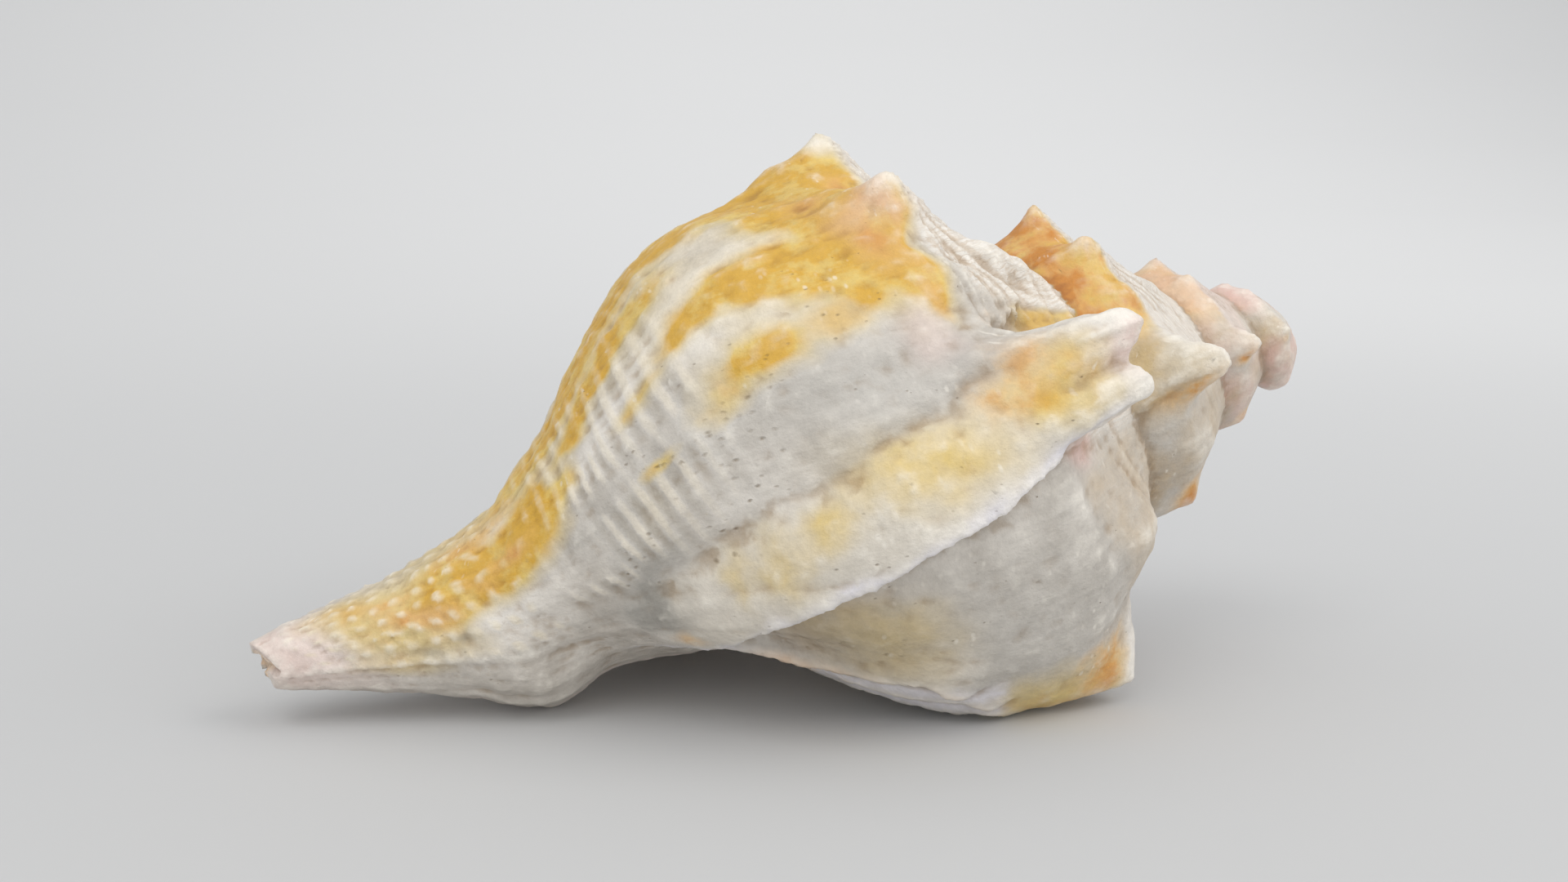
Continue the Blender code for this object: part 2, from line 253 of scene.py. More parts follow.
def loft(name, rings):  # closed along each ring and filled at both ends by a fan
    count, around = rings.shape[:2]
    points = np.concatenate([rings.reshape(-1, 3), rings[:1].mean(axis=1), rings[-1:].mean(axis=1)])
    i, j = np.meshgrid(np.arange(count - 1), np.arange(around), indexing="ij")
    a, b = i * around + j, i * around + (j + 1) % around
    sides = np.stack([a, a + around, b + around, b], axis=-1).reshape(-1, 4)
    k = np.arange(around)
    nextOne, last = (k + 1) % around, (count - 1) * around
    start, end = len(points) - 2, len(points) - 1
    caps = np.concatenate([
        np.stack([nextOne, k, k * 0 + start], axis=-1),
        np.stack([last + k, last + nextOne, k * 0 + end], axis=-1),
    ])
    tris = np.concatenate([sides[:, [0, 1, 2]], sides[:, [0, 2, 3]], caps])
    corner = points[tris]
    if np.einsum("ij,ij->i", corner[:, 0], np.cross(corner[:, 1], corner[:, 2])).sum() < 0:
        tris = tris[:, ::-1]
    return bpy.data.objects.new(name, plainMesh(name, points, tris))


def outside(turnStep, samples):
    turns = np.arange(coil["firstTurn"], coil["lipTurn"], turnStep)
    turns = np.append(turns, coil["lipTurn"])
    turn, along, radius = outerSheet(turns, samples)
    grid = np.stack([turn, along, radius], axis=-1)
    axisStart = grid[:, :1] * (1.0, 1.0, 0.0)
    return loft("outside", toWorld(*np.moveaxis(np.concatenate([axisStart, grid], axis=1), -1, 0)))


mouth = {
    "lip": [
        (61.0, 24.6), (65.5, 29.6), (72.0, 34.6), (80.0, 37.4), (88.0, 35.0),
        (95.0, 29.5), (101.0, 22.5), (106.0, 15.5), (110.0, 11.0), (106.0, 9.6),
        (97.0, 9.8), (86.0, 10.4), (76.0, 12.6), (69.0, 16.6), (63.5, 20.4),
    ],
    "chamber": [
        (55.0, 21.0), (58.5, 24.5), (62.5, 28.0), (68.0, 30.5), (75.0, 30.2),
        (83.0, 27.4), (90.0, 22.6), (96.0, 16.0), (97.0, 11.0), (92.0, 9.4),
        (82.0, 9.6), (73.0, 10.2), (66.0, 12.0), (60.0, 15.0), (56.0, 18.0),
    ],
    "chamberStart": -330.0, "chamberEnd": 60.0, "mouthFrom": 130.0,
    # distance below the apex, half width inside and half width at the edge
    "slot": [(98.0, 3.6, 3.4), (110.0, 3.0, 2.4), (122.0, 2.2, 1.5), (134.0, 1.6, 1.0), (150.0, 1.4, 1.0)],
    "slotTurn": 236.0, "slotReach": 30.0,
}


def chamber(turnStep, samples):
    end = coil["lipTurn"]
    turns = np.append(np.arange(mouth["chamberStart"], end, turnStep), (end, end + 6.0))
    _, weights = splineWeights(len(mouth["lip"]), samples, closed=True)
    opening = ease(turns, mouth["mouthFrom"], end)[:, None]
    size = growth(turns)[:, None]
    lines = [
        np.array(mouth["chamber"])[:, k] * size * (1 - opening) + np.array(mouth["lip"])[:, k] * opening
        for k in (0, 1)
    ]
    along, radius = (line @ weights.T for line in lines)
    start = mouth["chamberStart"]
    narrow = ease(turns, start - 1.0, start + mouth["chamberEnd"])[:, None] ** 0.5
    middle = [line.mean(axis=1)[:, None] for line in (along, radius)]
    along, radius = (m + (line - m) * narrow for m, line in zip(middle, (along, radius)))
    return loft("chamber", toWorld(np.repeat(turns[:, None], samples, axis=1), along, radius))


def canalSlot():
    rings = []
    for along, inner, edge in mouth["slot"]:
        half = np.radians(np.linspace(-90.0, -270.0, 17))
        across = np.concatenate([[edge, -edge], inner * np.sin(half + math.pi)[::-1]])
        out = np.concatenate([[mouth["slotReach"], mouth["slotReach"]], inner * np.cos(half)])
        turn = mouth["slotTurn"] + np.degrees(np.arctan2(across, out))
        rings.append(toWorld(turn, np.full(len(out), along), np.hypot(across, out)))
    return loft("canalSlot", np.array(rings))


def withModifier(item, kind, **settings):  # adds it and bakes it into the mesh
    modifier = item.modifiers.new(kind.lower(), kind)
    for name, value in settings.items():
        setattr(modifier, name, value)
    graph = bpy.context.evaluated_depsgraph_get()
    done = bpy.data.meshes.new_from_object(item.evaluated_get(graph))
    item.modifiers.remove(modifier)
    item.data = done


def isClosed(mesh):  # every edge between exactly two faces
    edges = np.empty(len(mesh.loops), np.int32)
    mesh.loops.foreach_get("edge_index", edges)
    return bool((np.bincount(edges, minlength=len(mesh.edges)) == 2).all())


build = {
    "turnStep": 1.0, "rowSamples": 320, "chamberStep": 3.0, "chamberSamples": 96,
    "sheetStep": 2.0, "sheetSamples": 200,      # for finding each point's place on the coil
    "voxels": (0.50, 0.47, 0.54),      # mm; the next is tried if the cuts leave a gap
    "triangles": 196000,
}


def hollowShell(voxel):
    solid = outside(build["turnStep"], build["rowSamples"])
    bpy.context.scene.collection.objects.link(solid)
    withModifier(solid, "REMESH", mode="VOXEL", voxel_size=voxel * mm)
    print("stage: mouth and canal")
    for cutter in (chamber(build["chamberStep"], build["chamberSamples"]), canalSlot()):
        bpy.context.scene.collection.objects.link(cutter)
        withModifier(solid, "BOOLEAN", operation="DIFFERENCE", object=cutter, solver="EXACT")
        bpy.data.objects.remove(cutter, do_unlink=True)
    return solid


for voxel in build["voxels"]:
    print("stage: whorls", voxel)
    shell = hollowShell(voxel)
    if isClosed(shell.data) or voxel == build["voxels"][-1]:
        break
    bpy.data.objects.remove(shell, do_unlink=True)
withModifier(shell, "REMESH", mode="VOXEL", voxel_size=voxel * mm)


# every point of the mesh learns its place on the coil: turn, row, whorl size
def coilSheet(turnStep, samples):
    turns = np.arange(coil["firstTurn"], coil["lipTurn"] + 0.1, turnStep)
    turn, along, radius = outerSheet(turns, samples)
    points = toWorld(turn, along, radius)
    i, j = np.meshgrid(np.arange(len(turns) - 1), np.arange(samples - 1), indexing="ij")
    a = i * samples + j
    quads = np.stack([a, a + samples, a + samples + 1, a + 1], axis=-1).reshape(-1, 4)
    flat = points.reshape(-1, 3)
    tree = BVHTree.FromPolygons(flat.tolist(), quads.tolist())
    return {"turns": turns, "samples": samples, "points": flat, "radius": radius.ravel(), "tree": tree}


def placeOnCoil(sheet, points, normals):
    found = [sheet["tree"].find_nearest(p) for p in points.tolist()]
    near = np.array([f[0][:] for f in found])
    face = np.array([f[2] for f in found])
    gap = np.array([f[3] for f in found]) / mm
    samples = sheet["samples"]
    i, j = np.divmod(face, samples - 1)
    a = i * samples + j
    corner = sheet["points"]
    along, across = corner[a + samples] - corner[a], corner[a + 1] - corner[a]
    offset = near - corner[a]
    aa, bb, ab = ((u * v).sum(1) for u, v in ((along, along), (across, across), (along, across)))
    oa, ob = (offset * along).sum(1), (offset * across).sum(1)
    det = np.maximum(aa * bb - ab * ab, 1e-24)
    u = np.clip((oa * bb - ob * ab) / det, 0, 1)
    v = np.clip((ob * aa - oa * ab) / det, 0, 1)
    step = sheet["turns"][1] - sheet["turns"][0]
    turn = sheet["turns"][0] + (i + u) * step
    row = (j + v) * (len(backLine) - 1) / (samples - 1)
    outward = np.cross(along, across)
    outward /= np.linalg.norm(outward, axis=1)[:, None] + 1e-12
    facing = (outward * normals).sum(1)
    if np.median(facing[gap < 0.3]) < 0:
        facing = -facing
    return {
        "turn": turn, "row": row, "gap": gap, "facing": facing, "size": growth(turn),
        "radius": sheet["radius"][a], "whorl": np.floor((coil["lipTurn"] - turn) / 360.0),
    }


def latticeNoise(seed, *axes):  # smooth noise from -1 to 1 over any number of axes
    cells = [np.floor(a) for a in axes]
    parts = [a - c for a, c in zip(axes, cells)]
    parts = [f * f * f * (f * (f * 6 - 15) + 10) for f in parts]
    total = np.zeros_like(np.asarray(axes[0], float))
    for corner in range(2 ** len(axes)):
        weight = np.ones_like(total)
        code = np.full(total.shape, seed * 374761393 & 0xFFFFFFFF, np.uint64)
        for k, (cell, part) in enumerate(zip(cells, parts)):
            high = corner >> k & 1
            weight *= part if high else 1 - part
            code = code * np.uint64(668265263) + (cell.astype(np.int64) + high + 100000).astype(np.uint64)
            code = (code ^ (code >> np.uint64(13))) * np.uint64(1274126177) & np.uint64(0xFFFFFFFF)
        code ^= code >> np.uint64(16)
        total += weight * ((code & np.uint64(0xFFFF)).astype(float) / 32767.5 - 1.0)
    return total


def layeredNoise(seed, octaves, *axes):
    return sum(latticeNoise(seed + k, *(a * 2.0 ** k for a in axes)) * 0.5 ** k for k in range(octaves))


def between(x, rise, fall):  # 1 in the middle, easing to 0 at both ends
    return ease(x, *rise) * ease(x, *fall)


# fine ribs that spread from the tip of each tall knob down its older side
fan = {
    "tips": (97.5, 66.0), "whorls": 4,                                # turns of the knobs
    "row": 4.15, "rowSize": 8.0, "reach": (21.0, 15.0),               # row of the tips, mm a row, mm
    "angles": ((-0.25, 0.05), (1.9, 1.5)),                            # radians
    "ribs": ((53, 0.6, 9.0, 16.0), (54, 0.9, 21.0, 10.0)),            # seed, height, ribs a radian, mm
}
# heights in mm; spans of rows, turns or mm run from none to full
relief = {
    "skin": (1.3, 0.7), "leastScale": 0.25,         # mm from the outer sheet, share kept near the apex
    "unevenness": 0.22, "unevennessSize": 7.0,      # mm
    "puckers": 0.18, "puckerSize": 2.2,             # mm
    "growthLines": 0.10, "growthStep": 2.1, "growthWobble": 1.6,      # mm, degrees between lines, degrees
    "cords": 0.10, "cordsPerRow": 4.0, "cordDrift": 0.06, "cordEdge": 0.7,
    "cordRows": ((7.1, 8.5), (11.4, 10.2)), "cordTurns": ((2.0, 14.0), (112.0, 76.0)),
    "cordSkew": 0.035, "skewFrom": 34.0, "skewOver": 30.0,            # rows a degree, degrees
    "beads": 0.13, "beadsPerRow": 3.0, "beadStep": 14.5,              # mm, then degrees between beads
    "beadLean": 4.0, "beadStray": 0.11, "strayTurns": 24.0,           # degrees a row, rows, degrees
    "beadRows": ((10.4, 11.4), (15.0, 14.0)), "beadTurns": ((-30.0, 5.0), (185.0, 150.0)),
    "rampFolds": 0.22, "rampRows": ((0.6, 1.2), (4.0, 3.2)),
    "sutureWaves": 0.45, "sutureRows": (1.5, 0.8), "sutureStep": 3.4,
    "threads": 0.19, "bladeThreads": 1.1,
    "bladeTurns": ((-2.0, 2.0), (32.0, 26.0)), "bladeRows": ((2.8, 3.3), (5.2, 4.4)),
    "bladeShares": (0.6, 0.4),                      # on every whorl, and more on the last
    "ledgeWave": 2.2, "ledgeWaves": 2.3, "ledgeEdge": 0.45,           # degrees, waves a row, mm
    "bellyCreases": 0.30, "bellyTurns": ((2.0, -12.0), (-75.0, -60.0)), "bellyRows": (4.2, 5.5),
    "rollCrease": 0.40, "creaseOff": 9.8, "creaseWave": 0.5, "creaseWide": 1.1,     # mm
    "creaseRows": ((4.8, 5.4), (9.4, 8.4)), "creaseWaves": 2.0,       # rows, waves a row
    "teeth": 1.1, "teethPerRow": 1.15, "toothTurns": (-17.0, -12.0, -6.5, -3.5),   # degrees from the lip
    "toothGap": (1.6, 2.4), "toothRows": ((4.8, 5.6), (11.0, 10.0)), "toothBlunt": 0.8,
    "cordWear": (0.7, 0.8, 1.15),                   # middle, swing and most of what is left of a cord
    "beadSink": (2.0, 0.5),                         # rise of a bead, and how far the canal sinks for it
}
# how fine the noise of each is over the coil: degrees a wave, waves a row
weave = {
    "cordDrift": (26.0, 0.8), "cordWear": (9.0, 1.6), "beadStray": (12.0, 2.2), "blades": (1.5, 0.7),
    "growthWobble": (30.0, 1.3), "growthLines": (relief["growthStep"], 0.35), "rampFolds": (16.0, 4.2),
    "sutureWaves": (relief["sutureStep"], 1.0), "bellyCreases": (9.0, 0.5),
}


def woven(kind, turn, row):  # the two axes of that noise
    perWave, perRow = weave[kind]
    return turn / perWave, row * perRow


def fanThreads(at):
    ribs, where = np.zeros_like(at["turn"]), np.zeros_like(at["turn"])
    for tip in fan["tips"]:
        for back in range(fan["whorls"]):
            along = np.radians(tip - 360.0 * back - at["turn"]) * at["radius"] / at["size"]
            down = (fan["row"] - at["row"]) * fan["rowSize"]
            reach = np.hypot(along, down)
            angle = np.arctan2(down, along)
            near = between(angle, *fan["angles"]) * ease(reach, *fan["reach"])
            rib = sum(high * latticeNoise(seed, angle * count, reach / length)
                      for seed, high, count, length in fan["ribs"])
            ribs = np.where(near > where, rib, ribs)
            where = np.maximum(where, near)
    return ribs, where


def spiralCords(turn, row, last):  # from -1 to 1
    drift = relief["cordDrift"] * latticeNoise(23, *woven("cordDrift", turn, row))
    cord = np.cos(2 * math.pi * relief["cordsPerRow"] * (row + drift))
    skewed = row - relief["cordSkew"] * np.clip(relief["skewFrom"] - turn, 0.0, relief["skewOver"])
    first, final = relief["cordRows"]
    young, old = relief["cordTurns"]
    where = ease(skewed, *first) * ease(row, *final) * last * ease(turn, *young)
    middle, swing, most = relief["cordWear"]
    left = np.clip(middle + swing * latticeNoise(29, *woven("cordWear", turn, row)), 0.0, most)
    where *= left * ease(turn, *old)
    return np.sign(cord) * np.abs(cord) ** relief["cordEdge"] * where


def canalBeads(turn, row, last):  # beads from 0 to 1, and how far the point is on the canal
    onCanal = between(row, *relief["beadRows"]) * last * between(turn, *relief["beadTurns"])
    stray = [relief["beadStray"] * latticeNoise(43 + k, *woven("beadStray", turn, row)) for k in (0, 1)]
    spiral = 0.5 + 0.5 * np.cos(2 * math.pi * relief["beadsPerRow"] * (row + stray[0]))
    around = turn + relief["beadLean"] * row + relief["strayTurns"] * stray[1]
    axial = 0.5 + 0.5 * np.cos(2 * math.pi * around / relief["beadStep"])
    return spiral * axial * onCanal, onCanal


def ledgeStep(at, ledge):  # steep on the older side, sloping away on the younger
    row = at["row"]
    edge = np.interp(row, *np.array(ledge["edge"]).T)
    waved = at["turn"] - edge - relief["ledgeWave"] * latticeNoise(47, row * relief["ledgeWaves"], edge)
    off = np.radians(waved) * at["radius"]
    step = np.exp(-(off / np.where(off > 0, ledge["wide"], relief["ledgeEdge"])) ** 2)
    step = ledge["height"] * step * ease(row, *ledge["fadeIn"]) * ease(row, *ledge["fadeOut"])
    return step * (at["whorl"] < 1)


def pastNearEdge(at):  # mm round the coil from the sharp edge of the near growth ridge
    return np.radians(at["turn"] - np.interp(at["row"], *np.array(varix["near"]["edge"]).T)) * at["radius"]


def rollCrease(at):  # runs beside the near growth ridge, on its younger side
    row = at["row"]
    wave = relief["creaseWave"] * latticeNoise(48, row * relief["creaseWaves"], at["size"])
    crease = np.exp(-((pastNearEdge(at) - relief["creaseOff"] - wave) / relief["creaseWide"]) ** 2)
    return relief["rollCrease"] * crease * between(row, *relief["creaseRows"]) * (at["whorl"] < 1)


def bladeRibs(at):
    onWhorl = at["turn"] + 360.0 * at["whorl"]
    blades = between(onWhorl, *relief["bladeTurns"]) * between(at["row"], *relief["bladeRows"])
    rib = layeredNoise(59, 2, *woven("blades", at["turn"], at["row"]))
    every, more = relief["bladeShares"]
    return relief["bladeThreads"] * relief["threads"] * rib * blades * (every + more * (at["whorl"] < 1))


def lipTeeth(at):
    turn, row = at["turn"], at["row"]
    start, full, ebb, end = (coil["lipTurn"] + turns for turns in relief["toothTurns"])
    first, final = relief["toothRows"]
    lining = ease(at["gap"], *relief["toothGap"]) * ease(turn, start, full) * ease(turn, end, ebb)
    lining *= ease(row, *first)
    tooth = np.clip(np.cos(2 * math.pi * relief["teethPerRow"] * row), 0.0, 1.0) ** relief["toothBlunt"]
    return relief["teeth"] * tooth * lining * ease(row, *final) * (at["whorl"] < 1)


def reliefHeight(at, points):  # mm outward, then the cords, beads and ribs that are part of it
    turn, row, size, last = at["turn"], at["row"], at["size"], at["whorl"] < 1
    x, y, z = (points / mm / relief["unevennessSize"]).T
    lip = ease(turn, coil["lipTurn"] + 1, coil["lipTurn"] - 5)
    outer = ease(at["gap"], *relief["skin"]) * (at["facing"] > 0) * lip
    scale = np.clip(size, relief["leastScale"], 1.0)
    height = relief["unevenness"] * layeredNoise(3, 3, x, y, z) * scale
    fine = relief["unevennessSize"] / relief["puckerSize"]
    height += relief["puckers"] * layeredNoise(5, 2, x * fine, y * fine, z * fine) * scale
    wobble = relief["growthWobble"] * latticeNoise(11, *woven("growthWobble", turn, row)[::-1])
    lines = layeredNoise(17, 2, *woven("growthLines", turn + wobble, row))
    height += relief["growthLines"] * lines * scale
    cord = spiralCords(turn, row, last)
    height += relief["cords"] * cord
    bead, onCanal = canalBeads(turn, row, last)
    rise, sink = relief["beadSink"]
    height += relief["beads"] * (rise * bead - sink * onCanal)
    folds = relief["rampFolds"] * latticeNoise(31, *woven("rampFolds", turn, row)[::-1])
    height += folds * between(row, *relief["rampRows"]) * scale
    waves = relief["sutureWaves"] * latticeNoise(37, *woven("sutureWaves", turn, row))
    height += waves * ease(row, *relief["sutureRows"]) * scale
    for ledge in ledges:
        height += ledgeStep(at, ledge)
    height -= rollCrease(at)
    ribs, where = fanThreads(at)
    height += relief["threads"] * ribs * where * scale
    height += bladeRibs(at)
    onBelly = between(turn, *relief["bellyTurns"]) * ease(row, *relief["bellyRows"]) * last
    height += relief["bellyCreases"] * latticeNoise(41, *woven("bellyCreases", turn, row)) * onBelly
    return height * outer + lipTeeth(at), cord * outer, bead * outer, ribs * where * outer


def pointsAndNormals(mesh):
    points, normals = (np.empty(len(mesh.vertices) * 3) for _ in range(2))
    mesh.vertices.foreach_get("co", points)
    mesh.vertices.foreach_get("normal", normals)
    return points.reshape(-1, 3), normals.reshape(-1, 3)


# the broken canal tip, in mm; only what lies before the given x is touched
tipBreak = {
    "at": (-67.6, 0.0, 7.0), "facing": (-0.82, -0.35, -0.45), "before": -55.0,
    "jag": 0.7, "pit": 1.6, "pitRadius": 1.5,
}


def breakTip(points):  # a ragged end face with a small open pit
    middle, facing = np.array(tipBreak["at"]), np.array(tipBreak["facing"])
    facing = facing / np.linalg.norm(facing)
    away = points / mm - middle
    out = away @ facing
    side = away - out[:, None] * facing
    reach = np.linalg.norm(side, axis=1)
    angle = np.arctan2(side[:, 2], side[:, 1])
    ragged = latticeNoise(67, angle * 1.6, reach * 0) + 0.5 * latticeNoise(68, angle * 4.0, reach / 2.0)
    limit = tipBreak["jag"] * ragged - tipBreak["pit"] * np.exp(-(reach / tipBreak["pitRadius"]) ** 4)
    near = points[:, 0] < tipBreak["before"] * mm
    moved = np.where(near & (out > limit), limit - out, 0.0)
    return points + moved[:, None] * facing * mm


print("stage: relief")
sheet = coilSheet(build["sheetStep"], build["sheetSamples"])
points, normals = pointsAndNormals(shell.data)
at = placeOnCoil(sheet, points, normals)
height = reliefHeight(at, points)[0]
points = breakTip(points + normals * height[:, None] * mm)
points[:, 2] = np.maximum(points[:, 2], 0.0)
shell.data.vertices.foreach_set("co", points.ravel())
shell.data.update()
share = build["triangles"] / (2.0 * len(shell.data.polygons))
withModifier(shell, "DECIMATE", ratio=share, use_collapse_triangulate=True)
print("triangles", len(shell.data.polygons))
shell.data.shade_smooth()


# where the smaller colours lie: turn, row, half width in degrees, half width in rows, lean, strength
patches = {
    "gold": [
        (92, 4.75, 9, 0.75, 0, 1.0), (88, 4.9, 5, 0.45, 0, 1.0), (86, 5.0, 6, 0.7, 0, 0.9),
        (94, 5.9, 10, 1.0, 0, 0.75), (90, 7.0, 8, 1.0, 0, 0.75), (78, 5.9, 9, 0.5, 0, 0.75),
        (70, 5.6, 7, 0.45, 0, 0.7), (66, 5.3, 22, 1.0, 0, 0.5), (60, 6.4, 6, 0.4, 0, 0.75),
        (53, 6.2, 6, 0.45, 0, 0.6), (47, 5.4, 6, 0.5, 0, 0.4), (60, 7.2, 12, 1.4, 0, 0.3),
        (60, 5.3, 7, 0.4, 0, 0.55), (58, 7.15, 5, 0.5, 0, 0.95), (52, 6.9, 3, 0.3, 0, 0.5),
        (56, 7.75, 3.6, 0.4, 0, 0.85), (41, 7.2, 5.4, 0.55, 0, 0.6), (41, 7.2, 3.0, 0.3, 0, 1.0),
        (41, 6.35, 3.5, 0.22, 0, 0.35), (46, 6.0, 4.0, 0.2, 0, 0.35), (36, 7.8, 3.2, 0.3, 0, 0.35),
        (50, 8.6, 2.4, 0.3, 0, 0.5), (73, 8.2, 4.4, 0.6, -4, 0.8), (68, 8.95, 3.4, 0.5, -6, 0.95),
        (93, 8.5, 13, 1.1, -6, 0.72), (80, 9.2, 6, 0.7, -6, 0.75), (62, 9.5, 4, 0.35, 0, 0.7),
        (32, 8.6, 2.0, 0.22, 0, 0.55), (50, 9.9, 5, 0.3, 0, 0.65), (84, 10.2, 14, 0.8, 0, 0.55),
        (58, 10.5, 8, 0.4, 0, 0.65), (56, 11.4, 18, 0.8, 0, 0.54), (95, 11.6, 20, 1.4, 0, 0.34),
        (52, 12.6, 22, 0.8, 0, 0.34), (26, 12.1, 10, 0.6, 0, 0.6), (60, 13.6, 26, 0.6, 0, 0.42),
        (22, 13.4, 22, 0.6, 0, 0.38), (8, 12.5, 12, 0.8, 0, 0.32), (36, 11.9, 12, 0.7, 0, 0.35),
        (37, 11.0, 9, 0.55, 0, 0.72), (44, 10.4, 9, 0.55, 0, 0.62), (26, 11.6, 9, 0.5, 0, 0.55),
        (-12, 13.6, 12, 0.7, 0, 0.35), (60, 4.9, 4, 0.4, -8, 0.6), (18.5, 4.75, 5.5, 0.4, 0, 0.6),
        (-57, 5.0, 9, 0.9, 0, 0.48), (-50, 6.0, 8, 0.7, 0, 0.3),
    ],
    "specks": [
        (30, 7.9, 12, 1.1, 0, 1.0), (24, 8.6, 10, 0.8, 0, 0.9), (8, 9.2, 10, 0.9, 0, 0.9),
        (46, 6.6, 10, 0.8, 0, 0.5), (4, 12.3, 10, 0.9, 0, 0.7), (-28, 8.0, 12, 0.8, 0, 0.8),
        (6, 7.0, 8, 1.2, 0, 0.3),
    ],
    "tan": [(-20, 8.1, 8, 0.7, 0, 0.65), (-30, 8.4, 8, 0.5, 0, 0.5), (-33, 7.7, 7, 0.5, 0, 0.4)],
    "yellow": [
        (14, 6.75, 5.0, 0.6, 0, 1.0), (11.5, 6.2, 5.0, 0.55, 0, 1.0), (14.5, 5.6, 4, 0.35, 0, 0.35),
        (5.5, 7.65, 3.2, 0.24, -4, 0.95), (2, 8.15, 5, 0.2, -6, 0.85), (0, 8.6, 5, 0.16, -6, 0.7),
        (10, 7.25, 3, 0.12, -6, 0.5), (17, 4.7, 5, 0.45, 0, 0.85), (12, 4.5, 3.5, 0.35, 0, 0.5),
        (-22, 7.7, 8, 0.6, 0, 0.45), (-32, 7.6, 10, 0.6, 0, 0.4), (25, 9.0, 6, 0.3, 0, 0.3),
    ],
    "orange": [
        (84, 4.6, 4, 0.35, 0, 0.45), (75, 5.6, 7, 0.25, 0, 0.4), (55, 5.2, 6, 0.4, 0, 0.5),
        (64, 11.0, 6, 0.3, 0, 0.5), (44, 10.8, 4.5, 0.3, 0, 0.5), (36, 11.4, 6, 0.3, 0, 0.3),
        (66, 11.6, 7, 0.3, 0, 0.45), (50, 12.7, 9, 0.3, 0, 0.45), (28, 12.7, 8, 0.25, 0, 0.5),
        (25, 4.9, 3.0, 0.3, 0, 0.4), (19.5, 5.15, 4.0, 0.3, 0, 0.5), (-57, 4.6, 7, 0.45, 0, 0.45),
        (-49, 4.8, 5, 0.5, 0, 0.5), (-18, 9.7, 4, 0.2, 0, 0.3),
    ],
    "pink": [
        (64, 4.6, 4.4, 0.5, 0, 0.7), (63, 5.3, 4.0, 0.4, 0, 0.35), (20, 3.95, 4.0, 0.45, 0, 0.8),
        (2.5, 3.8, 3.6, 0.5, 0, 1.0), (30, 14.8, 80, 0.8, 0, 0.6), (26, 12.2, 9, 0.4, 0, 0.3),
        (34, 5.4, 6, 0.4, 0, 0.3),
    ],
    "white": [
        (66.5, 4.2, 3.4, 0.4, 0, 0.95), (97.5, 4.4, 4.4, 0.4, 0, 0.85), (50, 7.6, 5, 0.4, 0, 0.6),
        (46, 6.9, 4, 0.35, 0, 0.5), (62, 10.9, 5, 0.3, 0, 0.7), (22, 3.6, 6, 0.5, 0, 0.9),
        (23, 4.2, 5, 0.55, 0, 0.9), (15, 14.6, 60, 0.9, 0, 0.6), (10, 11.4, 12, 0.5, 0, 0.7),
        (20, 10.8, 8, 0.4, 0, 0.5), (10.5, 3.95, 5.0, 0.65, 0, 1.0), (-57, 3.9, 8, 0.42, 0, 0.9),
        (-36, 7.0, 5, 0.25, 0, 0.6), (14, 8.0, 6, 0.5, 0, 0.5), (60, 6.75, 3, 0.15, 0, 0.5),
    ],
    "dirt": [
        (-6, 9.9, 7, 0.45, 0, 0.9), (2, 9.75, 5, 0.35, 0, 0.7), (10, 9.4, 4, 0.3, 0, 0.35),
        (12, 9.2, 4, 0.5, -6, 0.35), (-2, 10.6, 4, 0.4, 0, 0.5), (7, 12.2, 3, 0.22, 0, 0.6),
        (-1, 12.9, 3, 0.2, 0, 0.6), (-8, 11.6, 3, 0.3, 0, 0.4), (30, 10.0, 4, 0.25, 0, 0.25),
        (-22, 9.4, 6, 0.2, 0, 0.3), (-27, 8.0, 8, 0.5, 0, 0.35),
    ],
    "grey": [
        (26, 5.2, 6, 0.6, 0, 0.7), (27, 6.5, 10, 0.9, 0, 0.7), (-4, 9.9, 7, 0.5, 0, 0.95),
        (6, 9.5, 8, 0.5, 0, 0.6), (28, 9.4, 12, 0.7, 0, 0.45), (-35, 6.3, 26, 2.4, 0, 0.55),
        (5, 12.2, 4, 0.3, 0, 0.6), (-2, 12.9, 4, 0.25, 0, 0.5), (28, 12.45, 5, 0.18, 0, 0.8),
        (22, 12.0, 4, 0.2, 0, 0.8), (20, 12.8, 4, 0.2, 0, 0.6), (10, 4.9, 4, 0.35, 0, 0.5),
        (16, 9.6, 5, 0.3, 0, 0.4), (35, 7.9, 10, 0.9, 0, 0.4), (50, 8.9, 3, 0.6, 0, 0.3),
    ],
}
# the rim colour sits just on the younger side of the ridge's sharp edge: a pale rim with painted edge
# highlight
varixEdge = [(turn + 0.4, row) for row, turn in varix["near"]["edge"]]
# colours along a line over the coil: kind, half width in mm, strength, turn and row of its points
strokes = [
    ("white", 2.5, 0.52, [
        (66, 6.2), (68, 6.75), (66, 7.2), (64, 7.6), (60, 8.1), (57, 8.4), (53, 8.9), (49, 9.4),
    ]),
    ("orange", 1.6, 0.3, [(62, 4.35), (54, 4.6), (46, 4.85), (40, 4.95)]),
    ("gold", 2.8, 0.95, [(64, 4.25), (58, 4.6), (50, 4.75), (44, 4.9)]),
    ("white", 0.35, 0.9, [(10.5, 6.0), (13, 5.85), (15.5, 5.55)]),
    # pale rims along the ridge edge and the ledge edges, partly a painted edge highlight
    ("paleRimAndHighlight", 1.0, 1.0, varixEdge),
    ("paleRimAndHighlight", 1.2, 0.9, [(-44, 6.4), (-46, 7.4), (-46, 8.4), (-44, 9.4), (-38, 10.2)]),
    ("paleRimAndHighlight", 1.6, 0.9, [(-50, 6.4), (-52, 7.4), (-52, 8.4), (-50, 9.4)]),
]
# how far the edges of patches and strokes wander
waver = {"patchTurns": 1.8, "patchRows": 0.16, "strokeTurns": 1.4, "strokeRows": 0.1}    # degrees, rows
patchEdge = {"fall": 0.8, "power": 2.4}                                     # how fast a patch fades
strokeScale = {"radius": 32.0, "row": 8.8}                                  # mm, mm a row


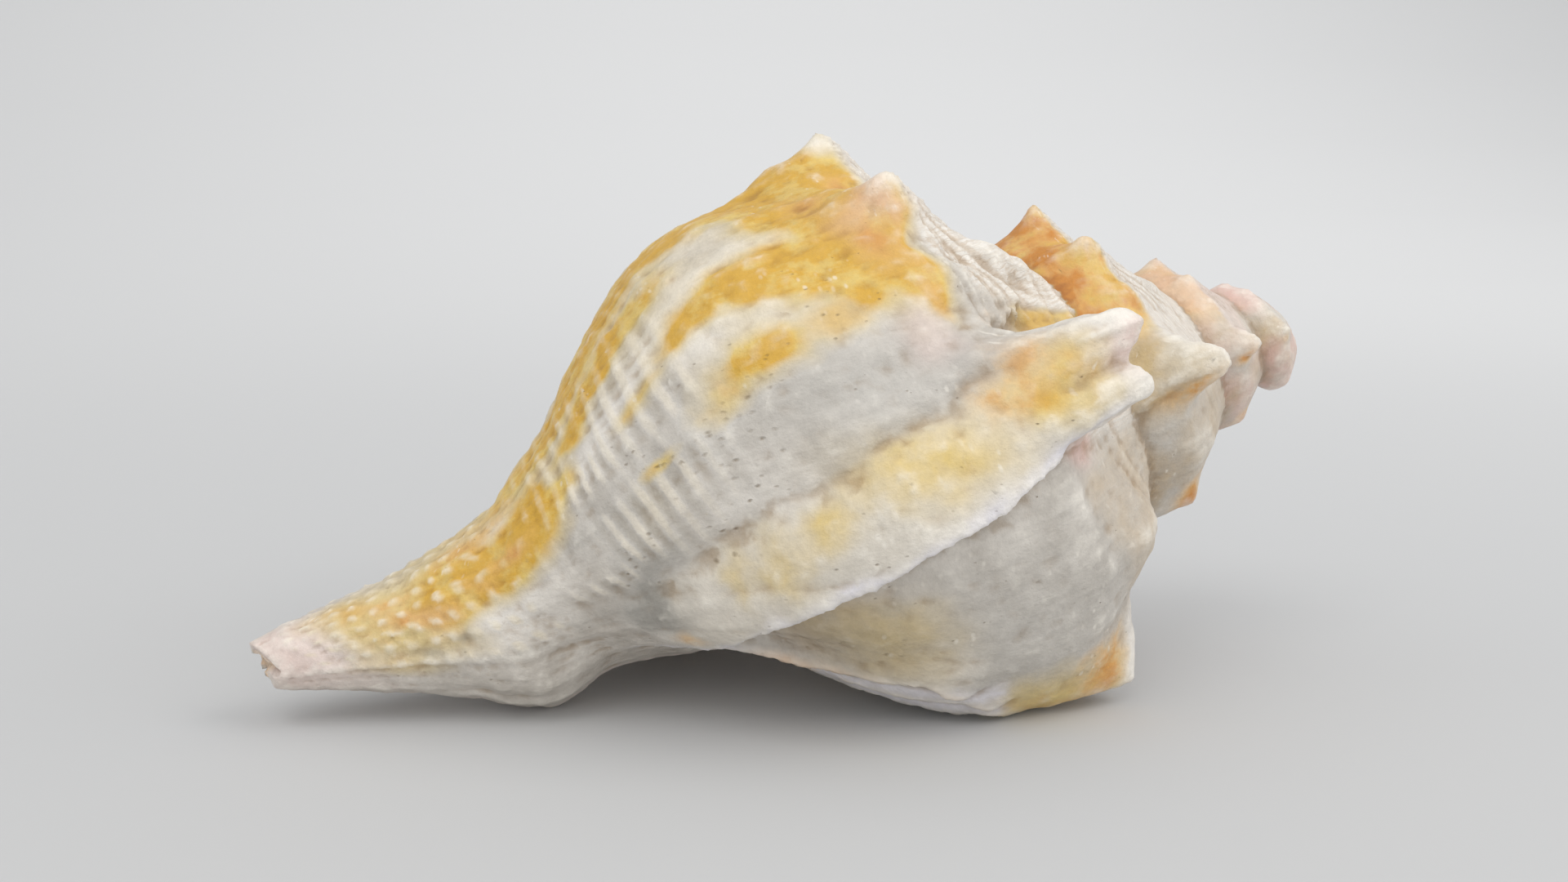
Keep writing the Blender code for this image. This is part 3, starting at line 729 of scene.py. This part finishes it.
def strokeGap(path, at, wander):  # mm from the nearest point of the stroke
    perTurn, perRow = math.radians(1.0) * strokeScale["radius"], strokeScale["row"]
    across = (at["turn"] + waver["strokeTurns"] * wander[0]) * perTurn
    down = (at["row"] + waver["strokeRows"] * wander[1]) * perRow
    line = [(turn * perTurn, row * perRow) for turn, row in path]
    gap = np.full_like(across, np.inf)
    for (x0, y0), (x1, y1) in zip(line, line[1:]):
        along = (across - x0) * (x1 - x0) + (down - y0) * (y1 - y0)
        along = np.clip(along / ((x1 - x0) ** 2 + (y1 - y0) ** 2), 0, 1)
        gap = np.minimum(gap, np.hypot(across - x0 - along * (x1 - x0), down - y0 - along * (y1 - y0)))
    return gap


def patchMask(kind, at, wander):
    mask = np.zeros_like(at["turn"])
    for turn, row, wide, tall, lean, strength in patches.get(kind, []):
        across = at["turn"] - turn - lean * (at["row"] - row) + waver["patchTurns"] * wander[0]
        down = at["row"] - row + waver["patchRows"] * wander[1]
        away = np.hypot(across / wide, down / tall)
        mask = 1 - (1 - mask) * (1 - strength * np.exp(-patchEdge["fall"] * away ** patchEdge["power"]))
    for name, wide, strength, path in strokes:
        if name == kind:
            mask = 1 - (1 - mask) * (1 - strength * np.exp(-(strokeGap(path, at, wander) / wide) ** 2))
    return mask


# where the wider colours lie; spans of turns, rows, whorls or mm run from none to full
zones = {
    "wanderSize": 4.5, "fineSize": 2.2,                                     # mm
    "nearSide": ((118.0, 100.0), (-76.0, -64.0)),                           # turns that the patches reach
    "flameTurns": 13.0, "flameLean": 5.0, "flameRows": 0.55,                # degrees, degrees a row
    "flames": (-0.05, 0.75), "flameCores": (0.35, 0.9), "flameFoot": -0.4,
    "shoulder": (5.0, 1.1), "backRows": ((3.8, 4.6), (15.2, 14.0)),
    "glazedTurns": (-62.0, -76.0), "paleTurns": (-62.0, -72.0),
    "litTurns": ((22.0, 42.0), (150.0, 120.0)), "litRows": (3.5, 4.2),
    "spireFade": 0.65, "spireLeast": 0.08,
    "spireYellow": (14.0, 12.0), "yellowRows": (3.8, 4.6),
    "spireGrey": (16.0, 2.0), "greyRows": (3.8, 4.4), "tanRows": (3.6, 4.4),
    "tanWhorls": (1.8, 3.0), "pinkWhorls": (1.0, 2.9),
    "rampRows": ((4.15, 3.7), (0.2, 0.8)), "bareTurns": ((6.0, -2.0), (-60.0, -50.0)),
    "valleyTurns": ((22.0, 26.0), (46.0, 41.0)), "valleyGold": (3.5, 2.6), "valleyTan": (3.7, 3.0),
    "lowTurns": ((0.0, -8.0), (-52.0, -44.0)), "lowRows": (4.5, 3.7),
    "nearRoll": ((-0.6, 0.6), (10.6, 8.4)), "nearRollRows": ((4.4, 5.2), (10.2, 9.4)),
    "farRoll": ((-1.0, 1.0), (12.0, 9.0)), "farRollRows": (3.8, 4.6), "belowRoll": (-12.0, -18.0),
    "lining": (1.8, 0.9), "liningFacing": -0.2, "lipTurns": (-24.0, -10.0),
}
# how strong the wider colours are, and how far one clears another, from 0 to 1
strengths = {
    "flameWander": 0.25, "backGold": (0.15, 0.75, 0.45),                    # ground, flames, shoulder
    "backGoldShare": 0.72, "glazeClears": 0.72, "flameCores": 0.5, "underWhite": 0.8, "underPink": 0.25,
    "ridgeClears": 0.8, "spireOrangeShare": 0.85, "spireYellow": 0.3, "spireGrey": 0.35, "apexTan": 0.6,
    "bareRamp": 0.7, "valleyGold": 0.45, "valleyTan": 0.8, "rampWhite": 0.9, "rampClears": 0.8,
    "lowTan": 0.6, "yellowOffRoll": (0.3, 0.7), "whiteClears": 0.85, "ribs": 0.6,
}
varied = {                     # middle, swing with the noise, least
    "spireGold": (0.9, 0.4, 0.4), "spireOrange": (0.68, 0.6, 0.0),
    "spireTan": (0.55, 0.8, 0.0), "spirePink": (0.65, 0.7, 0.0),
}
# spots that every older whorl has: turn, row, half width in degrees, half width in rows
ridgeGold = (50.0, 4.4, 9.0, 0.3)
spireSpots = [                                                              # kind, strength, place
    ("orange", 0.7, (3.0, 4.5, 5.0, 0.7)), ("orange", 0.9, (-58.0, 4.2, 12.0, 0.7)),
    ("white", 0.9, (12.0, 3.9, 14.0, 0.6)),
]


def roundSpot(onSpire, row, place):
    turn, middle, wide, tall = place
    return np.exp(-np.hypot((onSpire - turn) / wide, (row - middle) / tall) ** 2)


def deepen(masks, kind, amount):
    masks[kind] = np.maximum(masks[kind], amount)


def vary(kind, noise):
    middle, swing, least = varied[kind]
    return np.clip(middle + swing * noise, least, 1)


def farSideMasks(masks, at, wander, nearSide):  # flames of gold and orange, and the pale underside
    turn, row, last = at["turn"], at["row"], at["whorl"] < 1
    around = (turn + zones["flameLean"] * row) / zones["flameTurns"]
    flame = layeredNoise(71, 3, around, row * zones["flameRows"])
    flames = ease(flame + strengths["flameWander"] * wander[0], *zones["flames"])
    middle, wide = zones["shoulder"]
    shoulder = np.exp(-((row - middle) / wide) ** 2)
    ground, onFlames, onShoulder = strengths["backGold"]
    shoulderGold = onShoulder * shoulder * (flame > zones["flameFoot"])
    gold = np.clip(ground + onFlames * flames + shoulderGold, 0, 1)
    gold *= between(row, *zones["backRows"]) * (1 - nearSide)
    glazed = ease(turn, *zones["glazedTurns"]) * last
    deepen(masks, "gold", gold * (1 - strengths["glazeClears"] * glazed) * strengths["backGoldShare"])
    cores = strengths["flameCores"] * ease(flame, *zones["flameCores"])
    deepen(masks, "orange", cores * shoulder * (1 - nearSide) * last)
    under = ease(turn, *zones["paleTurns"]) * last
    deepen(masks, "white", strengths["underWhite"] * under)
    deepen(masks, "pink", strengths["underPink"] * under)


def spireMasks(masks, at, wander, fine):  # the older whorls, paler and pinker toward the apex
    row, whorl, last = at["row"], at["whorl"], at["whorl"] < 1
    older = 1.0 - last
    onSpire = at["turn"] + 360.0 * whorl
    fades = np.clip(1.0 - zones["spireFade"] * (whorl - 1), zones["spireLeast"], 1.0) * older
    lit = between(onSpire, *zones["litTurns"]) * ease(row, *zones["litRows"]) * fades
    masks["gold"] = masks["gold"] * last + lit * vary("spireGold", fine)
    orange = lit * vary("spireOrange", wander[0]) * strengths["spireOrangeShare"]
    masks["orange"] = masks["orange"] * last + orange
    ridge = older * roundSpot(onSpire, row, ridgeGold)
    deepen(masks, "gold", ridge * fades)
    masks["orange"] *= 1.0 - strengths["ridgeClears"] * ridge
    for kind, strength, place in spireSpots:
        deepen(masks, kind, older * roundSpot(onSpire, row, place) * strength)
    middle, wide = zones["spireYellow"]
    yellow = np.exp(-((onSpire - middle) / wide) ** 2) * ease(row, *zones["yellowRows"])
    deepen(masks, "yellow", strengths["spireYellow"] * yellow * fades)
    grey = strengths["spireGrey"] * older * ease(onSpire, *zones["spireGrey"])
    deepen(masks, "grey", grey * ease(row, *zones["greyRows"]))
    masks["tan"] += older * ease(row, *zones["tanRows"]) * vary("spireTan", wander[1])
    deepen(masks, "tan", strengths["apexTan"] * ease(whorl, *zones["tanWhorls"]))
    pink = older * ease(whorl, *zones["pinkWhorls"])
    deepen(masks, "pink", pink * vary("spirePink", wander[0]))


def rampMasks(masks, at):  # white ramps, with a tan and gold valley behind the blade
    turn, row = at["turn"], at["row"]
    onSpire = turn + 360.0 * at["whorl"]
    valley = between(turn, *zones["valleyTurns"]) * (at["whorl"] < 1)
    bare = 1 - strengths["bareRamp"] * between(onSpire, *zones["bareTurns"])
    onRamp = between(row, *zones["rampRows"]) * bare * (1 - valley)
    deepen(masks, "gold", strengths["valleyGold"] * valley * ease(row, *zones["valleyGold"]))
    deepen(masks, "tan", strengths["valleyTan"] * valley * ease(row, *zones["valleyTan"]))
    deepen(masks, "white", strengths["rampWhite"] * onRamp)
    for kind in ("gold", "orange", "tan"):
        masks[kind] *= 1 - strengths["rampClears"] * onRamp
    low = strengths["lowTan"] * between(onSpire, *zones["lowTurns"])
    deepen(masks, "tan", low * ease(row, *zones["lowRows"]))
    masks["ramp"] = onRamp


def rollMasks(masks, at):  # cream on both growth ridges, yellow only on the near one and low on the belly
    turn, row, last = at["turn"], at["row"], at["whorl"] < 1
    nearRoll = between(pastNearEdge(at), *zones["nearRoll"]) * between(row, *zones["nearRollRows"]) * last
    off = np.radians(turn - varix["far"]["edge"][0][1]) * at["radius"]
    farRoll = between(off, *zones["farRoll"]) * ease(row, *zones["farRollRows"]) * last
    masks["cream"] = np.maximum(nearRoll, farRoll)
    elsewhere = np.maximum(1.0 - last, ease(turn, *zones["belowRoll"]))
    least, onRoll = strengths["yellowOffRoll"]
    masks["yellow"] *= np.maximum(least + onRoll * nearRoll, elsewhere)


def colourMasks(at, points, cord, bead, ribs):
    turn, last = at["turn"], at["whorl"] < 1
    wander = [layeredNoise(51 + k, 3, *(points / mm / zones["wanderSize"]).T) for k in (0, 7)]
    fine = layeredNoise(61, 3, *(points / mm / zones["fineSize"]).T)
    nearSide = between(turn, *zones["nearSide"]) * last
    masks = {kind: patchMask(kind, at, wander) * nearSide for kind in (*patches, "paleRimAndHighlight")}
    for kind in ("gold", "orange"):
        masks[kind] *= 1 - strengths["whiteClears"] * masks["white"]
    farSideMasks(masks, at, wander, nearSide)
    spireMasks(masks, at, wander, fine)
    rampMasks(masks, at)
    rollMasks(masks, at)
    masks["cord"] = 0.5 + 0.5 * cord
    masks["ribs"] = 0.5 - strengths["ribs"] * ribs
    masks["bead"] = bead
    masks["inside"] = 1.0 - ease(at["gap"], *zones["lining"]) * (at["facing"] > zones["liningFacing"])
    masks["teeth"] = masks["inside"] * ease(turn, *(coil["lipTurn"] + t for t in zones["lipTurns"])) * last
    return {name: np.clip(mask, 0, 1) for name, mask in masks.items()}


# painted highlight on ridges and painted shade in hollows: mm above or below the surface round about, from
# none to full, and share
edgeHighlightAndHollowShade = {
    "rounds": (6, 30), "smoothing": 0.65,                # rounds of smoothing for close and broad forms
    "ridge": ((0.05, 0.2, 0.6), (0.15, 0.6, 1.0)),
    "hollow": ((0.02, 0.12, 0.7), (0.08, 0.4, 0.6)),
}


def riseAboveAround(mesh, points, normals, rounds):  # mm above the average of the surface round about
    ends = np.empty(len(mesh.edges) * 2, np.int32)
    mesh.edges.foreach_get("vertices", ends)
    a, b = ends.reshape(-1, 2).T
    a, b = np.concatenate([a, b]), np.concatenate([b, a])
    count = np.maximum(np.bincount(a, minlength=len(points)), 1)
    average = points / mm
    for _ in range(rounds):
        spread = [np.bincount(a, weights=average[b, k], minlength=len(points)) / count for k in range(3)]
        average = (1 - edgeHighlightAndHollowShade["smoothing"]) * average + edgeHighlightAndHollowShade["smoothing"] * np.stack(spread, axis=-1)
    return ((points / mm - average) * normals).sum(1)


def addAttribute(mesh, name, values, kind="FLOAT"):
    layer = mesh.attributes.new(name, kind, "POINT")
    flat = np.ascontiguousarray(values, np.float32).ravel()
    layer.data.foreach_set("value" if kind == "FLOAT" else "vector", flat)


print("stage: colour masks")
points, normals = pointsAndNormals(shell.data)
at = placeOnCoil(sheet, points, normals)
_, cord, bead, ribs = reliefHeight(at, points)
for name, mask in colourMasks(at, points, cord, bead, ribs).items():
    addAttribute(shell.data, name, mask)
# masks for the painted highlight on ridges and the painted shade in hollows
rises = [riseAboveAround(shell.data, points, normals, rounds) for rounds in edgeHighlightAndHollowShade["rounds"]]
for name, sign in (("ridge", 1.0), ("hollow", -1.0)):
    mask = sum(share * ease(sign * rise, low, high) for rise, (low, high, share) in zip(rises, edgeHighlightAndHollowShade[name]))
    addAttribute(shell.data, name, np.clip(mask, 0, 1))
# mm round the coil and along it, with each whorl set apart so that its pattern differs
coilPlace = [np.radians(at["turn"]) * at["radius"], at["row"] * coil["rowSize"] * at["size"],
             at["whorl"] * coil["whorlShift"]]
addAttribute(shell.data, "coilPlace", np.stack(coilPlace, axis=-1), "FLOAT_VECTOR")


# the finish: one old, sun-bleached shell surface
tones = {                      # sRGB, 0 to 255
    "bodyPale": (216, 209, 199), "bodyDull": (186, 178, 167),
    # groove: painted shade between the cords
    "groove": (168, 160, 146), "coldGrey": (184, 180, 173),
    "goldPale": (226, 196, 106), "goldDeep": (212, 162, 8),
    "orangePale": (222, 176, 106), "orangeDeep": (200, 132, 48),
    "pink": (229, 190, 180), "white": (240, 234, 225), "cream": (220, 212, 198),
    "creamDot": (228, 212, 178), "threadShade": (202, 182, 158),
    "inside": (240, 228, 214), "insideDeep": (226, 190, 152),
    # fleck: bleached flecks, and also the painted highlight on ridges
    "speck": (128, 106, 74), "fleck": (246, 240, 228), "yellow": (219, 190, 110),
    # rim: pale rim colour with painted edge highlight; sunk: painted shade in hollows
    "tan": (186, 160, 120), "paleRimAndHighlight": (226, 222, 226), "hollowShadeTone": (205, 190, 172), "dirt": (142, 138, 130),
}
noises = {                     # size in mm, detail, roughness
    "mottle": (5.0, 4.0, 0.55), "cloud": (14.0, 2.0, 0.55), "grain": (0.7, 4.0, 0.65),
    "blots": (2.2, 3.0, 0.6), "pores": (2.0, 5.0, 0.65),
    "fleckPatches": (6.0, 2.0, 0.55), "speckPatches": (6.0, 3.0, 0.55),
}
coilNoises = {                 # waves a mm round the coil and along it, detail, roughness
    "acrossGrowth": ((1.6, 0.14, 1.0), 4.0, 0.6), "alongGrowth": ((0.10, 1.3, 1.0), 4.0, 0.6),
    "thread": ((2.6, 0.22, 1.0), 5.0, 0.62),
}
# the values of a noise or mask between which a mark goes from none to full, then what it gives there
stops = {
    "bodyPale": (0.68, 1.05), "streaks": (0.42, 0.62), "groove": (0.46, 0.1), "cord": (0.55, 0.95),
    "tan": (0.35, 0.6, 0.4, 0.9), "yellow": (0.35, 0.6, 0.62, 0.92), "broken": (0.36, 0.60, 0.42, 1.3),
    "goldDeep": (0.2, 0.68), "gold": (0.06, 0.55, 0.0, 0.92),
    "orangeDeep": (0.3, 0.9), "orange": (0.02, 0.6),
    "crest": (0.6, 0.95), "bead": (0.3, 0.8), "dirt": (0.36, 0.56, 0.35, 1.0),
    "thread": (0.56, 0.40), "ribs": (0.55, 0.85), "ramp": (0.2, 0.8),
    "fleck": (0.26, 0.12), "fleckPatches": (0.52, 0.66),
    "speckSize": (0.0, 1.0, 0.10, 0.25), "speckPatches": (0.53, 0.60), "speckGrain": (0.35, 0.6, 0.35, 1.0),
    "ridge": (0.3, 0.6, 0.1, 0.5), "hollow": (0.3, 0.65, 0.42, 0.85), "tint": (0.5, 1.1, 0.90, 1.06),
    "lining": (0.35, 0.65), "liningPale": (0.4, 0.65), "rough": (0.5, 0.9, 0.36, 0.60),
    "insideRough": (0.0, 1.0, 1.0, 0.55),
}
shares = {                     # how much of what lies under it each mark covers
    "streaks": 0.10, "cream": 0.85, "groove": 0.42, "cord": 0.55, "crest": 0.3, "pink": 0.8, "bead": 0.5,
    "thread": 0.55, "ribs": 0.5, "fleck": 0.45, "speck": 0.75, "liningPale": 0.5,
}
finish = {
    "fleckSize": 1.1, "fleckStretch": (0.55, 1.0, 1.0),                     # mm, then shares of it
    "specksPerMm": 0.85, "speckStretch": (1.0, 0.75, 1.0), "speckCore": 0.03, "speckGather": 0.12,
    "coat": 0.12, "coatRoughness": 0.35, "fineBump": 0.5, "bumpDistance": 0.0008,
    # parts of the fine relief
    "grain": 0.05, "acrossGrowth": 0.10, "alongGrowth": 0.06, "pores": 0.85, "threads": 0.7, "pitDepth": 0.6,
    "smootherInside": 0.85,
    # how much each finer noise adds to the mottling that a mark or the gloss follows
    "cloudInBody": 0.7, "streaksInStain": 0.18, "blotsInStain": 0.35, "blotsInTint": 0.6,
    "grainInGloss": 0.4,
}


def linear(rgb):
    parts = [c / 255.0 for c in rgb]
    return tuple(c / 12.92 if c <= 0.04045 else ((c + 0.055) / 1.055) ** 2.4 for c in parts) + (1.0,)


class Nodes:  # short ways to place and join nodes in one material
    def __init__(self, material):
        material.use_nodes = True
        self.tree = material.node_tree
        self.tree.nodes.clear()

    def add(self, kind, inputs=None, **settings):
        made = self.tree.nodes.new("ShaderNode" + kind)
        for name, value in settings.items():
            setattr(made, name, value)
        for name, value in (inputs or {}).items():
            self.feed(value, made.inputs[name])
        return made

    def feed(self, value, socket):
        if isinstance(value, bpy.types.NodeSocket):
            self.tree.links.new(value, socket)
        else:
            socket.default_value = value

    def attribute(self, name, output="Fac"):
        return self.add("Attribute", attribute_name=name).outputs[output]

    def maths(self, operation, *values, clamp=False):
        made = self.add("Math", operation=operation, use_clamp=clamp)
        for value, socket in zip(values, made.inputs):
            self.feed(value, socket)
        return made.outputs[0]

    def plus(self, first, second):
        return self.maths("ADD", first, second)

    def times(self, first, second, clamp=False):
        return self.maths("MULTIPLY", first, second, clamp=clamp)

    def span(self, value, stop):
        low, high, *ends = stops[stop] if isinstance(stop, str) else stop
        start, end = ends or (0.0, 1.0)
        return self.add("MapRange", {0: value, 1: low, 2: high, 3: start, 4: end}, clamp=True).outputs[0]

    def share(self, value, mark):  # how much of what lies under it the mark covers
        return self.times(self.span(value, mark), shares[mark])

    def mix(self, factor, first, second, blend="MIX"):
        made = self.add("Mix", data_type="RGBA", blend_type=blend)
        for value, socket in ((factor, 0), (first, 6), (second, 7)):
            self.feed(value, made.inputs[socket])
        return made.outputs[2]

    def layers(self, colour, covers):  # each tone covers what is under it by its factor
        for factor, tone in covers:
            colour = self.mix(factor, colour, linear(tones[tone]))
        return colour

    def stretched(self, place, scale):
        return self.add("Mapping", {"Vector": place, "Scale": scale}).outputs[0]

    def noise(self, place, scale, detail, rough):
        made = self.add("TexNoise", {"Vector": place, "Scale": scale, "Detail": detail, "Roughness": rough})
        return made.outputs["Fac"]

    def cells(self, place, scale):
        return self.add("TexVoronoi", {"Vector": place, "Scale": scale}).outputs["Distance"]


def shellPatterns(n):  # the masks kept on the mesh, and the noises
    kinds = (
        "gold", "yellow", "orange", "pink", "white", "grey", "cream", "tan", "paleRimAndHighlight",
        "dirt", "cord", "bead", "ribs", "inside", "teeth", "ramp", "ridge", "hollow", "specks",
    )
    mask = {name: n.attribute(name) for name in kinds}
    place = n.add("TexCoord").outputs["Object"]
    coilAt = n.attribute("coilPlace", "Vector")
    noise = {name: n.noise(place, 1.0 / (size * mm), *kind) for name, (size, *kind) in noises.items()}
    for name, (stretch, *kind) in coilNoises.items():
        noise[name] = n.noise(n.stretched(coilAt, stretch), 1.0, *kind)
    return mask, noise, coilAt


def bodyColour(n, mask, noise):
    pale = n.span(n.plus(noise["mottle"], n.times(noise["cloud"], finish["cloudInBody"])), "bodyPale")
    return n.layers(linear(tones["bodyDull"]), (
        (pale, "bodyPale"),
        (n.share(noise["acrossGrowth"], "streaks"), "white"),
        (mask["grey"], "coldGrey"),
        (n.times(mask["cream"], shares["cream"]), "cream"),
        # painted shade in the grooves between the cords
        (n.share(mask["cord"], "groove"), "groove"),
        (n.share(mask["cord"], "cord"), "white"),
        (mask["white"], "white"),
        (n.times(mask["tan"], n.span(noise["mottle"], "tan")), "tan"),
        (n.times(mask["yellow"], n.span(noise["mottle"], "yellow")), "yellow"),
    ))


def stainColour(n, mask, noise, colour):  # gold and orange, broken up by the mottling, then paler marks
    streaks = n.times(n.maths("SUBTRACT", noise["acrossGrowth"], 0.5), finish["streaksInStain"])
    blots = n.times(n.maths("SUBTRACT", noise["blots"], 0.5), finish["blotsInStain"])
    broken = n.span(n.plus(n.plus(noise["mottle"], streaks), blots), "broken")
    gold = n.times(mask["gold"], broken, clamp=True)
    goldTone = n.layers(linear(tones["goldPale"]), [(n.span(gold, "goldDeep"), "goldDeep")])
    colour = n.mix(n.span(mask["gold"], "gold"), colour, goldTone)
    orange = n.times(mask["orange"], broken, clamp=True)
    orangeTone = n.layers(linear(tones["orangePale"]), [(n.span(orange, "orangeDeep"), "orangeDeep")])
    colour = n.mix(n.span(orange, "orange"), colour, orangeTone)
    return n.layers(colour, (
        (n.share(mask["cord"], "crest"), "creamDot"),
        (n.times(mask["pink"], shares["pink"]), "pink"),
        (n.share(mask["bead"], "bead"), "creamDot"),
        # pale rim with painted edge highlight along the ridge and ledge edges
        (mask["paleRimAndHighlight"], "paleRimAndHighlight"),
        (n.times(mask["dirt"], n.span(noise["mottle"], "dirt")), "dirt"),
    ))


def dirtSpecks(n, mask, noise, coilAt):  # gathered in patches, none on the ramps or inside
    size = n.span(mask["specks"], "speckSize")
    cells = n.cells(n.stretched(coilAt, finish["speckStretch"]), finish["specksPerMm"])
    speck = n.span(cells, (size, finish["speckCore"]))
    where = n.plus(noise["speckPatches"], n.times(mask["specks"], finish["speckGather"]))
    clean = n.maths("SUBTRACT", 1.0, n.maths("MAXIMUM", mask["ramp"], mask["inside"]), clamp=True)
    specks = n.times(n.times(speck, n.span(where, "speckPatches")), clean)
    return n.times(specks, n.span(noise["grain"], "speckGrain"))


def wearAndPaintedLightColour(n, mask, noise, coilAt, specks, colour):  # ramp threads and fan ribs with painted shade between them, bleached flecks, specks, painted highlight on ridges and painted shade in hollows
    threads = n.times(n.span(noise["thread"], "thread"), mask["ramp"])
    betweenRibs = n.times(n.span(mask["ribs"], "ribs"), n.span(mask["ramp"], "ramp"))
    cells = n.cells(n.stretched(coilAt, finish["fleckStretch"]), 1.0 / finish["fleckSize"])
    flecks = n.times(n.span(cells, "fleck"), n.span(noise["fleckPatches"], "fleckPatches"))
    colour = n.layers(colour, (
        # painted shade between the ramp threads and between the fan ribs
        (n.times(threads, shares["thread"]), "threadShade"),
        (n.times(betweenRibs, shares["ribs"]), "threadShade"),
        (n.times(flecks, shares["fleck"]), "fleck"),
        (n.times(specks, shares["speck"]), "speck"),
        # ridges get a painted highlight in the pale fleck tone
        (n.times(mask["ridge"], n.span(noise["blots"], "ridge")), "fleck"),
    ))
    # hollows get painted shade
    hollowShadeTone = n.times(mask["hollow"], n.span(noise["blots"], "hollow"))
    colour = n.mix(hollowShadeTone, colour, linear(tones["hollowShadeTone"]), "MULTIPLY")
    tint = n.span(n.plus(noise["grain"], n.times(noise["blots"], finish["blotsInTint"])), "tint")
    tint = n.add("CombineColor", {0: tint, 1: tint, 2: tint}).outputs[0]
    return n.mix(1.0, colour, tint, "MULTIPLY")


def liningColour(n, mask, noise):
    pale = n.share(noise["mottle"], "liningPale")
    return n.layers(linear(tones["insideDeep"]), (
        (n.span(noise["cloud"], "lining"), "inside"), (pale, "fleck"), (mask["teeth"], "fleck"),
    ))


def fineRelief(n, mask, noise, specks):
    height = n.times(noise["grain"], finish["grain"])
    for name in ("acrossGrowth", "alongGrowth", "pores"):
        height = n.plus(height, n.times(noise[name], finish[name]))
    height = n.plus(height, n.times(n.times(noise["thread"], mask["ramp"]), finish["threads"]))
    height = n.maths("SUBTRACT", height, n.times(specks, finish["pitDepth"]))
    outer = n.maths("SUBTRACT", 1.0, n.times(mask["inside"], finish["smootherInside"]))
    return n.times(height, outer)


def wornShell():
    material = bpy.data.materials.new("wornShell")
    n = Nodes(material)
    mask, noise, coilAt = shellPatterns(n)
    specks = dirtSpecks(n, mask, noise, coilAt)
    colour = stainColour(n, mask, noise, bodyColour(n, mask, noise))
    colour = wearAndPaintedLightColour(n, mask, noise, coilAt, specks, colour)
    colour = n.mix(mask["inside"], colour, liningColour(n, mask, noise))
    rough = n.span(n.plus(noise["mottle"], n.times(noise["grain"], finish["grainInGloss"])), "rough")
    rough = n.times(rough, n.span(mask["inside"], "insideRough"))
    bump = n.add("Bump", {
        "Height": fineRelief(n, mask, noise, specks),
        "Distance": finish["bumpDistance"], "Strength": finish["fineBump"],
    })
    shader = n.add("BsdfPrincipled", {
        "Base Color": colour, "Roughness": rough, "Normal": bump.outputs[0],
        "Coat Weight": finish["coat"], "Coat Roughness": finish["coatRoughness"],
    })
    n.add("OutputMaterial", {"Surface": shader.outputs[0]})
    return material


shell.name = "wornShellBody"
shell.data.materials.clear()
shell.data.materials.append(wornShell())
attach(shell, "root")
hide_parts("shell")

# pale sweep to stand on, soft light, and the camera
studio = {
    "floorTone": (197, 197, 197), "floorRough": 0.9,
    # half width, distance back and bend radius, then how far it runs in front and above; metres
    "sweep": (9.0, 0.5, 2.5), "sweepFront": 1.2, "sweepTop": 1.4,
    "world": (0.98, 0.99, 1.0), "worldPower": 0.88,
    # place, aim, size in metres, power in watts
    "lamps": [
        ((-0.40, -0.45, 0.95), (0.0, 0.0, 0.03), 0.6, 2.1),
        ((0.55, -0.34, 0.66), (0.0, 0.0, 0.03), 0.5, 1.9),
        ((-0.15, -0.95, 0.14), (0.0, 0.0, 0.02), 0.7, 0.9),
        ((0.6, 0.5, 1.6), (1.1, 2.6, 0.75), 1.8, 21.0),
    ],
    "cameraAt": (-46.9, -164.8, 56.3), "cameraTurn": (81.4, 0.0, -15.0), "lens": 30.94,     # mm, degrees, mm
}


def sweep():
    half, back, bend = studio["sweep"]
    arc = [(back + bend * math.sin(a), bend - bend * math.cos(a)) for a in np.radians(np.arange(0, 91, 7.5))]
    line = [(-studio["sweepFront"], 0.0), (0.0, 0.0)] + arc + [(back + bend, bend + studio["sweepTop"])]
    points = np.array([(x, y, z) for y, z in line for x in (-half, half)])
    quads = np.array([(2 * k, 2 * k + 1, 2 * k + 3, 2 * k + 2) for k in range(len(line) - 1)])
    made = bpy.data.objects.new("floor", plainMesh("floor", points, quads))
    made.data.shade_smooth()
    material = bpy.data.materials.new("paleFloor")
    n = Nodes(material)
    shader = n.add("BsdfPrincipled", {
        "Base Color": linear(studio["floorTone"]), "Roughness": studio["floorRough"],
    })
    n.add("OutputMaterial", {"Surface": shader.outputs[0]})
    made.data.materials.append(material)
    bpy.context.scene.collection.objects.link(made)


def lights():
    world = bpy.data.worlds.new("softSky")
    world.use_nodes = True
    sky = world.node_tree.nodes["Background"]
    sky.inputs["Color"].default_value = studio["world"] + (1.0,)
    sky.inputs["Strength"].default_value = studio["worldPower"]
    bpy.context.scene.world = world
    for number, (spot, aim, size, power) in enumerate(studio["lamps"]):
        light = bpy.data.lights.new(f"softbox{number + 1}", "AREA")
        light.size = size
        light.energy = power
        lamp = bpy.data.objects.new(light.name, light)
        lamp.location = spot
        lamp.rotation_euler = (Vector(aim) - Vector(spot)).to_track_quat("-Z", "Y").to_euler()
        bpy.context.scene.collection.objects.link(lamp)


def viewpoint():
    data = bpy.data.cameras.new("camera")
    data.lens = studio["lens"]
    data.clip_start = 0.005
    camera = bpy.data.objects.new("camera", data)
    camera.location = [v * mm for v in studio["cameraAt"]]
    camera.rotation_euler = [math.radians(v) for v in studio["cameraTurn"]]
    bpy.context.scene.collection.objects.link(camera)
    bpy.context.scene.camera = camera


bpy.context.scene.view_settings.view_transform = "Standard"
print("stage: studio")
sweep()
lights()
viewpoint()
